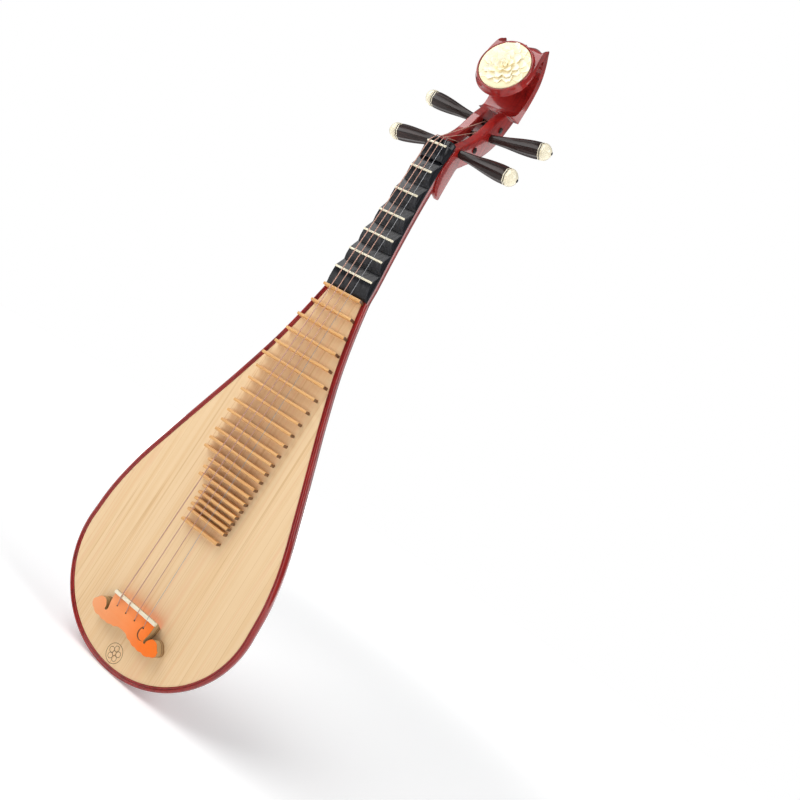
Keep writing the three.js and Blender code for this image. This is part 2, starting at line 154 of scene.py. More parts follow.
def half_width(z):
    if z < BOWL_CENTRE:
        return BOWL_HALF * math.sqrt(max(0.0, 1 - ((BOWL_CENTRE - z) / BOWL_CENTRE) ** 2))
    return float(np.interp(z, [p[0] for p in SHOULDER_CURVE], [p[1] for p in SHOULDER_CURVE]))


def back_depth(z):
    if z < BOWL_CENTRE:
        rise = max(0.0, 1 - ((BOWL_CENTRE - z) / BOWL_CENTRE) ** 2)
        return BOWL_DEPTH * rise**0.35
    return float(np.interp(z, [p[0] for p in DEPTH_CURVE], [p[1] for p in DEPTH_CURVE]))


SQUARENESS = 0.87  # under 1, the back's sections are fuller than an ellipse


def on_back(z, angle, lift=0.0):
    """A point of the back at a height and an angle from the right-hand edge round to the left."""
    c, s = math.cos(angle), math.sin(angle)
    x = math.copysign(abs(c) ** SQUARENESS, c) * (half_width(z) + lift)
    y = abs(s) ** SQUARENESS * (back_depth(z) + lift)
    return x, y, z


def outline(inset, top, arc_steps=40, side_steps=60):
    """The body's outline in x and z, moved inwards, from the bottom up the right-hand side."""
    points = []
    for i in range(arc_steps):
        angle = math.pi / 2 * i / arc_steps
        points.append((math.sin(angle) * BOWL_HALF, BOWL_CENTRE * (1 - math.cos(angle))))
    for i in range(side_steps + 1):
        z = lerp(BOWL_CENTRE, top, i / side_steps)
        points.append((half_width(z), z))
    moved = []
    for i, (x, z) in enumerate(points):
        before, after = points[max(i - 1, 0)], points[min(i + 1, len(points) - 1)]
        along = Vector((after[0] - before[0], after[1] - before[1])).normalized()
        if i == 0:
            along = Vector((1, 0))
        moved.append((x - along.y * inset, z + along.x * inset))
    return moved


# ---- Meshes ----
def mesh_object(name, points, faces=()):
    """An object of the scene, from points in metres."""
    mesh = bpy.data.meshes.new(name)
    mesh.from_pydata([tuple(p) for p in points], [], faces)
    obj = bpy.data.objects.new(name, mesh)
    bpy.context.scene.collection.objects.link(obj)
    return obj


def turn_outwards(mesh, merge=None):
    """Turns the faces to point outwards, once points closer than the merge distance are one."""
    work = bmesh.new()
    work.from_mesh(mesh)
    if merge:
        bmesh.ops.remove_doubles(work, verts=work.verts, dist=merge)
    bmesh.ops.recalc_face_normals(work, faces=work.faces)
    work.to_mesh(mesh)
    work.free()


def store(mesh, name, values, domain="POINT"):
    """Keeps a number on each point or face, for a material or a node tree to read."""
    mesh.attributes.new(name, "FLOAT", domain).data.foreach_set("value", values)


def new_piece(name, points, faces, material, slot, body=ROOT, nodes=(), sharp=40):
    """A finished piece from points in metres."""
    return finish_piece(mesh_object(name, points, faces), material, body, nodes, sharp)


def finish_piece(obj, material, body=ROOT, nodes=(), sharp=40):
    """Applies the modifiers, closes and turns the faces, and hands the piece to its body.

    Edges sharper than the given angle, in degrees, are shaded as edges.
    """
    if obj.modifiers:
        bake_modifiers(obj)
    mesh = obj.data
    turn_outwards(mesh, merge=MERGE_DISTANCE)
    mesh.shade_smooth()
    mesh.set_sharp_from_angle(angle=math.radians(sharp))
    mesh.materials.clear()
    mesh.materials.append(material)
    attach(obj, body)
    if nodes:
        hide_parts(*nodes)
    return obj


def bake_modifiers(obj):
    """Swaps the object's mesh for its evaluated one, and removes the modifiers."""
    bpy.context.view_layer.update()
    evaluated = obj.evaluated_get(bpy.context.evaluated_depsgraph_get())
    mesh = bpy.data.meshes.new_from_object(evaluated)
    obj.modifiers.clear()
    obj.data = mesh
    mesh.name = obj.name


def loose(name, points, faces):
    """A closed mesh that isn't a piece yet, such as a blank to cut or the tool that cuts it."""
    obj = mesh_object(name, points, faces)
    turn_outwards(obj.data)
    return obj


def carve(obj, tools):
    """Cuts the tools out of the blank, when its modifiers are baked."""
    for tool in tools:
        modifier = obj.modifiers.new("Cut", "BOOLEAN")
        modifier.operation = "DIFFERENCE"
        modifier.solver = "EXACT"
        modifier.object = tool


def discard(tools):
    for tool in tools:
        bpy.data.objects.remove(tool)


def bevel(obj, width, angle):
    """Rounds the edges sharper than the angle in degrees, over a width in millimetres."""
    modifier = obj.modifiers.new("Bevel", "BEVEL")
    modifier.width = width * MM
    modifier.segments = 2
    modifier.limit_method = "ANGLE"
    modifier.angle_limit = math.radians(angle)
    modifier.use_clamp_overlap = True


def loft(rings):
    """A closed skin over rings of equal length, as its points and faces."""
    count = len(rings[0])
    points = [p for ring in rings for p in ring]
    faces = []
    for r in range(len(rings) - 1):
        for i in range(count):
            a, b = r * count + i, r * count + (i + 1) % count
            faces.append((a, b, b + count, a + count))
    faces.append(tuple(range(count))[::-1])
    faces.append(tuple(range((len(rings) - 1) * count, len(rings) * count)))
    return points, faces


def sweep(path, section, scale=None):
    """A section of (side, up) pairs carried along a path without twisting, as rings."""
    path = [Vector(p) for p in path]
    up = None
    rings = []
    for i, p in enumerate(path):
        ahead = (path[min(i + 1, len(path) - 1)] - path[max(i - 1, 0)]).normalized()
        if up is None:
            up = Vector((0, -1, 0)) if abs(ahead.y) < 0.9 else Vector((0, 0, 1))
        up = (up - ahead * up.dot(ahead)).normalized()
        side = ahead.cross(up)
        size = scale(i / (len(path) - 1)) if scale else 1.0
        rings.append([p + (side * a + up * b) * size for a, b in section])
    return rings


def circle(radius, sides):
    return [(radius * math.cos(math.tau * i / sides), radius * math.sin(math.tau * i / sides))
            for i in range(sides)]


def joined(parts):
    """Several (points, faces) pairs as one."""
    points, faces = [], []
    for p, f in parts:
        base = len(points)
        points += list(p)
        faces += [tuple(i + base for i in face) for face in f]
    return points, faces


# ---- Materials ----
class Nodes:
    """A short way to write a node tree, one node at a time."""

    def __init__(self, tree):
        self.tree = tree

    def feed(self, socket, value):
        """Links an output to the socket, or sets the socket to a plain value."""
        if isinstance(value, bpy.types.NodeSocket):
            self.tree.links.new(value, socket)
        else:
            socket.default_value = value

    def add(self, kind, inputs=(), **settings):
        node = self.tree.nodes.new(kind)
        for key, value in settings.items():
            setattr(node, key, value)
        for key, value in dict(inputs).items():
            self.feed(node.inputs[key], value)
        return node

    def maths(self, operation, a, b=0.0):
        return self.add("ShaderNodeMath", {0: a, 1: b}, operation=operation).outputs[0]

    def split(self, vector):
        return self.add("ShaderNodeSeparateXYZ", {0: vector}).outputs

    def combine(self, **inputs):
        return self.add("ShaderNodeCombineXYZ", inputs).outputs[0]


class Look(Nodes):
    """A material and its base colour: each method adds a node and returns its output."""

    def __init__(self, name, colour):
        self.material = bpy.data.materials.new(name)
        self.material.use_nodes = True
        super().__init__(self.material.node_tree)
        self.shader = self.tree.nodes["Principled BSDF"]
        self.base = tuple(colour)[:3]

    def tint(self, *factors):
        """The base colour with each channel scaled, and held to 1 at most."""
        return tuple(min(1.0, c * k) for c, k in zip(self.base, factors))

    def shade(self, factor):
        return self.tint(factor, factor, factor)

    def place(self, *scale):
        """The place on the object, scaled so that patterns stretch along its small factors."""
        coordinates = self.add("ShaderNodeTexCoord").outputs["Object"]
        return self.add("ShaderNodeMapping", {"Vector": coordinates, "Scale": scale}).outputs[0]

    def noise(self, vector, scale=1.0, detail=4.0, rough=0.5, distortion=0.0):
        return self.add("ShaderNodeTexNoise", {
            "Vector": vector, "Scale": scale, "Detail": detail, "Roughness": rough,
            "Distortion": distortion,
        }).outputs["Fac"]

    def ramp(self, fac, stops):
        """A colour ramp; a stop's colour is given as three channels or as one grey."""
        node = self.add("ShaderNodeValToRGB", {"Fac": fac})
        elements = node.color_ramp.elements
        while len(elements) < len(stops):
            elements.new(0.5)
        for element, (place, colour) in zip(elements, stops):
            element.position = place
            element.color = (*colour, 1) if isinstance(colour, tuple) else (colour,) * 3 + (1,)
        return node.outputs["Color"]

    def mix(self, fac, a, b):
        node = self.add("ShaderNodeMix", {0: fac}, data_type="RGBA")
        for key, value in ((6, a), (7, b)):
            self.feed(node.inputs[key], (*value, 1) if isinstance(value, tuple) else value)
        return node.outputs[2]

    def range(self, value, low, high):
        node = self.add("ShaderNodeMapRange", {"Value": value, "To Min": low, "To Max": high})
        return node.outputs[0]

    def attribute(self, name):
        return self.add("ShaderNodeAttribute", attribute_name=name).outputs["Fac"]

    def bump(self, height, distance, strength=1.0):
        return self.add("ShaderNodeBump", {
            "Height": height, "Distance": distance, "Strength": strength,
        }).outputs["Normal"]

    def remap(self, value, low, high):
        """Maps the span from low to high onto 0 to 1."""
        return self.add("ShaderNodeMapRange", {
            "Value": value, "From Min": low, "From Max": high}).outputs[0]

    def surface(self, **values):
        """Feeds the shader's inputs, and returns the finished material."""
        names = {
            "colour": "Base Color", "rough": "Roughness", "metal": "Metallic",
            "normal": "Normal", "coat": "Coat Weight", "coat_rough": "Coat Roughness",
            "specular": "Specular IOR Level",
        }
        for key, value in values.items():
            self.feed(self.shader.inputs[names[key]],
                      (*value, 1) if isinstance(value, tuple) else value)
        return self.material


def red_lacquer(colour):
    """Rosewood under deep red gloss lacquer: long dark streaks and slow clouds of brighter red."""
    look = Look("red_lacquer", colour)
    grain = look.noise(look.place(55, 55, 4), 3.0, 8, 0.62, 0.4)
    pores = look.noise(look.place(420, 420, 12), 3.0, 3, 0.6)
    clouds = look.noise(look.place(9, 9, 4), 1.6, 3)
    dark = look.tint(0.36, 0.30, 0.40)
    bright = look.tint(1.35, 1.9, 1.4)
    streaks = look.ramp(grain, [(0.28, dark), (0.48, look.base), (0.76, bright)])
    clouded = look.mix(look.range(clouds, -0.1, 0.6), streaks, look.shade(0.5))
    finished = look.mix(look.range(pores, -0.05, 0.22), clouded, dark)
    rough = look.range(grain, 0.36, 0.26)
    return look.surface(colour=finished, rough=rough, specular=0.15, coat=0.9, coat_rough=0.06,
                        normal=look.bump(grain, 0.0003, 0.2))


def pale_board(name, colour):
    """Bare straight-grained wood: fine even grain crossed by thin darker growth lines."""
    look = Look(name, colour)
    tone = look.noise(look.place(150, 150, 2.5), 1.0, 4, 0.55, 0.1)
    rings = look.noise(look.place(110, 110, 0.7), 1.0, 1, 0.5, 0.05)
    blush = look.noise(look.place(34, 34, 0.8), 1.0, 2, 0.5, 0.05)
    fibre = look.noise(look.place(1300, 1300, 30), 1.0, 2, 0.6)
    warm = look.tint(0.97, 0.93, 0.88)
    pale = look.tint(1.02, 1.03, 1.06)
    line = look.tint(0.80, 0.68, 0.56)
    pink = look.tint(0.97, 0.84, 0.82)
    grain = look.ramp(tone, [(0.38, warm), (0.50, look.base), (0.64, pale)])
    lined = look.mix(look.ramp(rings, [(0.485, 0), (0.5, 0.75), (0.515, 0)]), grain, line)
    tinted = look.mix(look.ramp(blush, [(0.55, 0), (0.57, 0.6), (0.59, 0)]), lined, pink)
    flecked = look.mix(look.range(fibre, -0.04, 0.16), tinted, warm)
    return look.surface(colour=flecked, rough=look.range(fibre, 0.50, 0.62), specular=0.3,
                        normal=look.bump(look.maths("ADD", rings, fibre), 0.0002, 0.3))


def honey_bamboo(colour):
    """Split bamboo: fibres along the slat, and dark brown end faces."""
    look = Look("honey_bamboo", colour)
    fibre = look.noise(look.place(14, 900, 900), 1.0, 4, 0.6)
    deep = look.tint(0.86, 0.74, 0.60)
    pale = look.tint(1.12, 1.22, 1.35)
    tone = look.ramp(fibre, [(0.34, deep), (0.52, look.base), (0.70, pale)])
    dark_end_faces = look.mix(look.attribute("end_grain"), tone, (0.15, 0.07, 0.03))
    return look.surface(colour=dark_end_faces, rough=0.42, coat=0.25, coat_rough=0.3,
                        normal=look.bump(fibre, 0.0002, 0.4))


def orange_bamboo(colour):
    """The bridge: an orange face, redder to one end, over layered tan and brown sides."""
    look = Look("orange_bamboo", colour)
    fibre = look.noise(look.place(20, 500, 700), 1.0, 4, 0.6)
    where = look.split(look.place(1, 1, 1))
    across = look.remap(where["X"], -0.062, 0.062)
    deep = look.tint(1.0, 0.60, 0.16)
    pale = look.tint(0.92, 1.2, 1.6)
    face = look.ramp(across, [(0.05, pale), (0.45, look.base), (0.8, deep)])
    face = look.mix(look.range(fibre, -0.05, 0.25), face, deep)
    depth = look.remap(where["Y"], SHIFT.y - 0.0155, SHIFT.y)
    tan, brown = (0.56, 0.39, 0.20), (0.16, 0.07, 0.025)
    layers = look.ramp(depth, [(0.0, brown), (0.06, tan), (0.52, tan), (0.60, brown),
                               (0.70, tan), (0.84, brown), (0.95, tan)])
    side = look.mix(look.range(fibre, 0.0, 0.5), layers, brown)
    return look.surface(colour=look.mix(look.attribute("skin"), face, side), rough=0.45,
                        specular=0.15, coat=0.08, coat_rough=0.3, normal=look.bump(fibre, 0.0002, 0.3))


def dark_wood(name, colour, streak, rough, scale=(500, 500, 9)):
    """Polished near-black wood with faint lighter streaks along the scale's small factor."""
    look = Look(name, colour)
    grain = look.noise(look.place(*scale), 1.0, 3, 0.55, 0.3)
    tone = look.ramp(grain, [(0.46, look.base), (0.74, streak)])
    return look.surface(colour=tone, rough=look.range(grain, rough, rough + 0.1), specular=0.12,
                        coat=0.3, coat_rough=0.12)


def bone(name, colour, rough=0.28):
    """Polished bone: cream with faint straight flecks."""
    look = Look(name, colour)
    flecks = look.noise(look.place(160, 160, 60), detail=1)
    clouds = look.noise(look.place(50, 50, 50), detail=2)
    warm = look.tint(0.96, 0.90, 0.76)
    tone = look.mix(look.range(clouds, 0.0, 0.4), look.base, warm)
    tone = look.mix(look.ramp(flecks, [(0.62, 0), (0.85, 0.2)]), tone, warm)
    return look.surface(colour=tone, rough=rough, coat=0.3, coat_rough=0.15)


def carved_cream(colour):
    """The carved flower: cream, with painted shade in its hollows: darker and yellower where the
    stored height is low, at the petals' bases and on their undersides.
    """
    look = Look("carved_cream", colour)
    mottle = look.noise(look.place(180, 180, 180), rough=0.6)
    # painted shade for the hollows: a darker, yellower cream, also used for the random mottle
    hollow_shade_and_mottle = look.tint(0.90, 0.77, 0.44)
    height = look.ramp(look.attribute("height"), [(0.0, 0), (0.55, 1)])
    # a low stored height takes the painted shade colour
    tone = look.mix(height, hollow_shade_and_mottle, look.base)
    tone = look.mix(look.range(mottle, 0.0, 0.22), tone, hollow_shade_and_mottle)
    return look.surface(colour=tone, rough=0.45)


def metal_wire(name, colour, wound):
    """String wire; a wound string has fine turns across its length."""
    look = Look(name, colour)
    tone = look.noise(look.place(300, 300, 300), detail=2)
    shade = look.mix(look.range(tone, 0.0, 0.5), look.base, look.shade(0.6))
    values = {"colour": shade, "rough": 0.4, "metal": 0.45}
    if wound:
        turns = look.add("ShaderNodeTexWave", {
            "Vector": look.place(1, 1, 1), "Scale": 900.0}, bands_direction="Z")
        values["normal"] = look.bump(turns.outputs["Fac"], 0.0001, 0.6)
    return look.surface(**values)


def gold_paint(colour):
    """Gold paint, a little darker and smoother in places."""
    look = Look("gold_paint", colour)
    tone = look.noise(look.place(220, 220, 220))
    shade = look.ramp(tone, [(0.35, look.shade(0.7)), (0.65, look.base)])
    return look.surface(colour=shade, rough=look.range(tone, 0.28, 0.45), metal=0.75)


def studio_floor(colour):
    """A pale floor that glows more strongly with distance, so that it meets a white surround."""
    look = Look("studio_floor", colour)
    dust = look.noise(look.place(6, 6, 6), detail=3)
    tone = look.mix(look.range(dust, 0.0, 0.05), look.base, look.shade(0.95))
    reach = look.add("ShaderNodeVectorMath", {0: look.place(1, 1, 1)}, operation="LENGTH")
    glow = look.add("ShaderNodeMapRange", {
        "Value": reach.outputs["Value"], "From Min": 0.7, "From Max": 2.4,
        "To Min": 0.24, "To Max": 1.3}, interpolation_type="SMOOTHSTEP")
    look.feed(look.shader.inputs["Emission Color"], (1, 1, 1, 1))
    look.feed(look.shader.inputs["Emission Strength"], glow.outputs[0])
    return look.surface(colour=tone, rough=0.75, specular=0.1)


MATERIALS = {}


def make_materials(looks):
    """Every finish, from the colours in the panel."""
    MATERIALS.update(
        lacquer=red_lacquer(looks.lacquer),
        board=pale_board("bare_paulownia", looks.board),
        bamboo=honey_bamboo(looks.bamboo),
        bridge=orange_bamboo(looks.bridge),
        ebony=dark_wood("polished_ebony", looks.ebony, (0.030, 0.031, 0.038), 0.24),
        peg=dark_wood("dark_peg_wood", looks.peg, (0.046, 0.024, 0.021), 0.28, (8, 260, 260)),
        bone=bone("polished_bone", looks.bone),
        cream=carved_cream(looks.carving),
        copper=metal_wire("wound_copper", looks.copper, True),
        steel=metal_wire("plain_steel", (0.42, 0.42, 0.44), False),
        # scorched lines for the board's blossom, and the painted slot shade of the bridge's hook
        burnt=dark_wood("burnt_line", (0.10, 0.042, 0.018), (0.16, 0.075, 0.03), 0.5),
        gold=gold_paint(looks.gold),
        pearl=bone("pearl", (0.82, 0.84, 0.86), 0.2),
        spruce=pale_board("brace_spruce", (0.74, 0.58, 0.36)),
        floor=studio_floor(looks.floor),
    )


# ---- Geometry node trees ----
class Tree(Nodes):
    """A geometry node tree whose further inputs are all numbers."""

    def __init__(self, name, inputs=()):
        super().__init__(bpy.data.node_groups.new(name, "GeometryNodeTree"))
        face = self.tree.interface
        face.new_socket("Geometry", in_out="INPUT", socket_type="NodeSocketGeometry")
        face.new_socket("Geometry", in_out="OUTPUT", socket_type="NodeSocketGeometry")
        self.sockets = {
            key: face.new_socket(key, in_out="INPUT", socket_type="NodeSocketFloat")
            for key in inputs}
        self.source = self.tree.nodes.new("NodeGroupInput")
        self.sink = self.tree.nodes.new("NodeGroupOutput")

    def given(self, key):
        return self.source.outputs[key]

    def random(self, low, high, seed):
        """A number for each point."""
        return self.add("FunctionNodeRandomValue", {2: low, 3: high, "Seed": seed},
                        data_type="FLOAT").outputs[1]

    def close(self, geometry, material):
        """Ends the tree in Realize Instances and Set Material, as every tree here does."""
        real = self.add("GeometryNodeRealizeInstances", {0: geometry})
        painted = self.add("GeometryNodeSetMaterial", {0: real.outputs[0], "Material": material})
        self.feed(self.sink.inputs[0], painted.outputs[0])

    def put_on(self, obj, **values):
        """Gives the tree to an object, with its inputs set by their identifiers."""
        modifier = obj.modifiers.new(self.tree.name, "NODES")
        modifier.node_group = self.tree
        for key, value in values.items():
            modifier[self.sockets[key].identifier] = value


def bar_tree(material):
    """Bars on points: each is a rounded bar drawn out to its point's half-length and height."""
    tree = Tree("Bars", ["Width", "Rounding", "End Taper"])
    width, rounding = tree.given("Width"), tree.given("Rounding")
    section = tree.add("GeometryNodeCurvePrimitiveQuadrilateral",
                       {"Width": width, "Height": width})
    rounded = tree.add("GeometryNodeFilletCurve", {
        "Curve": section.outputs[0], "Radius": rounding, "Count": 4}, mode="POLY")
    half = tree.maths("MULTIPLY", width, 0.5)
    line = tree.add("GeometryNodeCurvePrimitiveLine", {
        "Start": tree.combine(X=tree.maths("MULTIPLY", half, -1.0)),
        "End": tree.combine(X=half)})
    cut = tree.add("GeometryNodeResampleCurve", {"Curve": line.outputs[0], "Count": 10})
    factor = tree.add("GeometryNodeSplineParameter").outputs["Factor"]
    from_middle = tree.maths("ABSOLUTE", tree.maths("SUBTRACT", factor, 0.5))
    at_end = tree.maths("GREATER_THAN", from_middle, 0.49)
    radius = tree.maths("SUBTRACT", 1.0, tree.maths("MULTIPLY", at_end, tree.given("End Taper")))
    sized = tree.add("GeometryNodeSetCurveRadius", {"Curve": cut.outputs[0], "Radius": radius})
    bar = tree.add("GeometryNodeCurveToMesh", {
        "Curve": sized.outputs[0], "Profile Curve": rounded.outputs[0], "Fill Caps": True})
    place = tree.add("GeometryNodeInputPosition").outputs[0]
    local = tree.add("GeometryNodeStoreNamedAttribute", {
        "Geometry": bar.outputs[0], "Name": "local", "Value": place}, data_type="FLOAT_VECTOR")
    facing = tree.split(tree.add("GeometryNodeInputNormal").outputs[0])["X"]
    capped = tree.add("GeometryNodeStoreNamedAttribute", {
        "Geometry": local.outputs[0], "Name": "end_grain",
        "Value": tree.maths("GREATER_THAN", facing, 0.95)}, data_type="FLOAT", domain="FACE")
    many = tree.add("GeometryNodeInstanceOnPoints", {
        "Points": tree.given("Geometry"), "Instance": capped.outputs[0]})
    real = tree.add("GeometryNodeRealizeInstances", {0: many.outputs[0]})

    def stored(name, kind="FLOAT"):
        node = tree.add("GeometryNodeInputNamedAttribute", {"Name": name}, data_type=kind)
        return node.outputs[0]

    parts = tree.split(stored("local", "FLOAT_VECTOR"))
    outward = tree.maths("MULTIPLY", tree.maths("SIGN", parts["X"]), stored("half"))
    in_front = tree.maths("LESS_THAN", parts["Y"], 0.0)
    forward = tree.maths("MULTIPLY", tree.maths("MULTIPLY", in_front, stored("height")), -1.0)
    drawn = tree.add("GeometryNodeSetPosition", {
        "Geometry": real.outputs[0], "Offset": tree.combine(X=outward, Y=forward)})
    tree.close(drawn.outputs[0], material)
    return tree


def bars(name, material, nodes, width, rounding, taper):
    """Bars over the boxes of the given CAD nodes, all in one piece."""
    boxes = [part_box(n) for n in nodes]
    inset = width * MM / 2
    obj = mesh_object(name, [((lo.x + hi.x) / 2, hi.y - inset, (lo.z + hi.z) / 2)
                             for lo, hi in boxes])
    store(obj.data, "half", [(hi.x - lo.x) / 2 - inset for lo, hi in boxes])
    store(obj.data, "height", [hi.y - lo.y - 2 * inset for lo, hi in boxes])
    bar_tree(material).put_on(obj, **{
        "Width": width * MM, "Rounding": rounding * MM, "End Taper": taper})
    return finish_piece(obj, material, nodes=nodes)


def petal_tree(rings, material):
    """A petal repeated round rings of (count, radius, tilt, scale, rise, start angle)."""
    tree = Tree("Petals")
    join = tree.add("GeometryNodeJoinGeometry")
    for seed, (count, radius, tilt, scale, rise, start) in enumerate(rings):
        ring = tree.add("GeometryNodeMeshCircle", {"Vertices": count, "Radius": radius * MM})
        index = tree.add("GeometryNodeInputIndex").outputs[0]
        turn = tree.maths("MULTIPLY", index, math.tau / count)
        lean = tree.random(math.radians(tilt - 7), math.radians(tilt + 7), seed)
        swing = tree.random(-0.12, 0.12, seed + 20)
        angles = tree.combine(Y=tree.maths("MULTIPLY", lean, -1.0),
                              Z=tree.maths("ADD", turn, swing))
        size = tree.random(scale * 0.9, scale * 1.1, seed + 40)
        petals = tree.add("GeometryNodeInstanceOnPoints", {
            "Points": ring.outputs[0], "Instance": tree.given("Geometry"),
            "Rotation": angles, "Scale": size})
        placed = tree.add("GeometryNodeTransform", {
            "Geometry": petals.outputs[0], "Translation": (0, 0, rise * MM),
            "Rotation": (0, 0, start)})
        tree.feed(join.inputs[0], placed.outputs[0])
    tree.close(join.outputs[0], material)
    return tree


# ---- Body ----
BEAD = [  # the rim's section: (inwards from the outline, behind the soundboard's face)
    (7.0, 5.2), (7.0, -0.3), (6.6, -0.9), (5.6, -1.1), (4.9, -0.8), (4.7, -0.1), (4.4, -0.1),
    (4.1, -0.9), (3.2, -1.5), (2.0, -1.4), (0.8, -0.7), (0.1, 0.6), (-0.2, 2.6), (-0.2, 6.0),
    (0.0, 7.2), (0.6, 7.9), (3.0, 8.0),
]


def shell_rings():
    """Sections of the back, from the round bottom up to the neck's end."""
    heights = [BOWL_CENTRE * (1 - math.cos(lerp(0.03, math.pi / 2, i / 44))) for i in range(44)]
    heights += [lerp(BOWL_CENTRE, BOARD_TOP - 1, i / 70) for i in range(71)]
    heights += [lerp(BOARD_TOP + 1, NECK_END, i / 36) for i in range(37)]
    steps = 56
    rings = []
    for z in heights:
        front = 2.0 if z < BOARD_TOP else 0.0
        deepest = 25.0 if node_box("neck_back_plate")[0].z - 12 < z else 1e3
        ring = []
        for i in range(steps + 1):
            x, y, _ = on_back(z, math.pi * i / steps)
            ring.append(at(x, min(max(y, front), deepest), max(z, 0.0)))
        rings.append(ring)
    return rings


class PIPA_OT_back(bpy.types.Operator):
    """Build the lacquered back and neck with its beaded rim"""

    bl_idname = "pipa.back"
    bl_label = "Back and Neck"

    def execute(self, context):
        points, faces = loft(shell_rings())
        right = {i: outline(i, BOARD_TOP + 2) for i, _ in BEAD}
        rings = []
        count = len(right[BEAD[0][0]])
        for side, order in ((-1, range(count - 1, 0, -1)), (1, range(count))):
            for k in order:
                rings.append([at(side * right[i][k][0], y, right[i][k][1]) for i, y in BEAD])
        new_piece("back_and_neck_shell", points, faces, MATERIALS["lacquer"],
                  "red_lacquered_wood", nodes=["back_and_neck"], sharp=50)
        new_piece("rim_bead", *loft(rings), MATERIALS["lacquer"], "red_lacquered_wood", sharp=60)
        return {"FINISHED"}


class PIPA_OT_board(bpy.types.Operator):
    """Build the paulownia soundboard and the small blossom under the bridge"""

    bl_idname = "pipa.board"
    bl_label = "Soundboard"

    def execute(self, context):
        half = outline(RIM, BOARD_TOP - 2)
        top_half, top_z = half[-1]
        arc = [(top_half * math.cos(a), top_z + 3.2 * math.sin(a))
               for a in np.linspace(0, math.pi, 17)][1:-1]
        ring = half + arc + [(-x, z) for x, z in half[:0:-1]]
        thickness = node_box("soundboard")[1].y
        rings = []
        for inset, y in ((0.4, 0.0), (0.0, 0.4), (0.0, thickness)):
            rings.append([at(x * (1 - inset / BOWL_HALF), y,
                             lerp(BOWL_CENTRE, z, 1 - inset / 200)) for x, z in ring])
        new_piece("soundboard_plate", *loft(rings), MATERIALS["board"], "paulownia",
                  nodes=["soundboard"])
        self.burnt_blossom(0.0, 22.0, 12.5)
        for name in ("upper_brace", "lower_brace"):
            mesh = frame["nodes"][name].data
            mesh.materials.clear()
            mesh.materials.append(MATERIALS["spruce"])
        return {"FINISHED"}

    def burnt_blossom(self, x, z, radius):
        """A plain five-petalled blossom in a ring, scorched into the board as thin brown lines."""
        loops = [circle(radius, 72), circle(radius * 0.22, 24)]
        for k in range(5):
            heading = math.tau * k / 5 + math.pi / 2
            cx, cz = (radius * 0.5 * f(heading) for f in (math.cos, math.sin))
            loops.append([(cx + a, cz + b) for a, b in circle(radius * 0.28, 32)])
        parts = []
        for loop in loops:
            path = [at(x + a, 0.0, z + b) for a, b in loop + loop[:1]]
            parts.append(loft(sweep(path, [(a, b * 0.3) for a, b in circle(0.32 * MM, 8)])))
        new_piece("board_blossom", *joined(parts), MATERIALS["burnt"], "paulownia", sharp=60)


# ---- Frets, neck blocks and nut ----
class PIPA_OT_frets(bpy.types.Operator):
    """Build the bamboo frets, the bone strips of the neck and the saddle strip"""

    bl_idname = "pipa.frets"
    bl_label = "Frets and Strips"

    def execute(self, context):
        sizes = context.scene.pipa_sizes
        bars("bamboo_frets", MATERIALS["bamboo"], FRET_NODES, sizes.fret_width,
             sizes.fret_width * 0.36, 0.16)
        strips = [f"neck_fret_{i}" for i in range(1, BLOCK_COUNT + 1)] + ["nut_strip"]
        strip_bars("neck_bone_strips", strips, sizes.strip_width)
        strip_bars("saddle_bone_strip", ["bridge_saddle"], 4.5)
        return {"FINISHED"}


def strip_bars(name, nodes, width):
    """Bone strips that reach down into the wood under them, and have rounded tops."""
    parts = []
    for node in nodes:
        low, high = node_box(node)
        z = (low.z + high.z) / 2
        section = [(-width / 2, high.y + 1.5)]
        section += [(-math.cos(a) * width / 2, low.y + 0.9 - math.sin(a) * 0.9)
                    for a in np.linspace(0, math.pi, 9)]
        section += [(width / 2, high.y + 1.5)]
        rings = []
        for x, shrink in ((low.x, 0.86), (low.x + 0.35, 1), (high.x - 0.35, 1), (high.x, 0.86)):
            rings.append([at(x, lerp(high.y, y, shrink) if y < high.y else y, z + s * shrink)
                          for s, y in section])
        parts.append(loft(rings))
    new_piece(name, *joined(parts), MATERIALS["bone"], "bone", nodes=nodes, sharp=50)


def block_piece(name, stations, node):
    """An ebony block from (height along the neck, half-width at the top, rise) stations."""
    rings = []
    for z, top, rise in stations:
        base = half_width(z) + 0.25
        rings.append([at(x, y, z) for x, y in (
            (base, 0.0), (base, -1.6), (top, -rise), (-top, -rise), (-base, -1.6), (-base, 0.0))])
    obj = loose(name, *loft(rings))
    bevel(obj, 0.45, 18)
    return finish_piece(obj, MATERIALS["ebony"], nodes=[node], sharp=25)


NUT_TEETH = [  # left and right edges, with the string grooves between them
    (-16.2, -10.4), (-7.9, -6.2), (-3.9, -1.6), (1.6, 3.9), (6.2, 7.9), (10.4, 16.2),
]


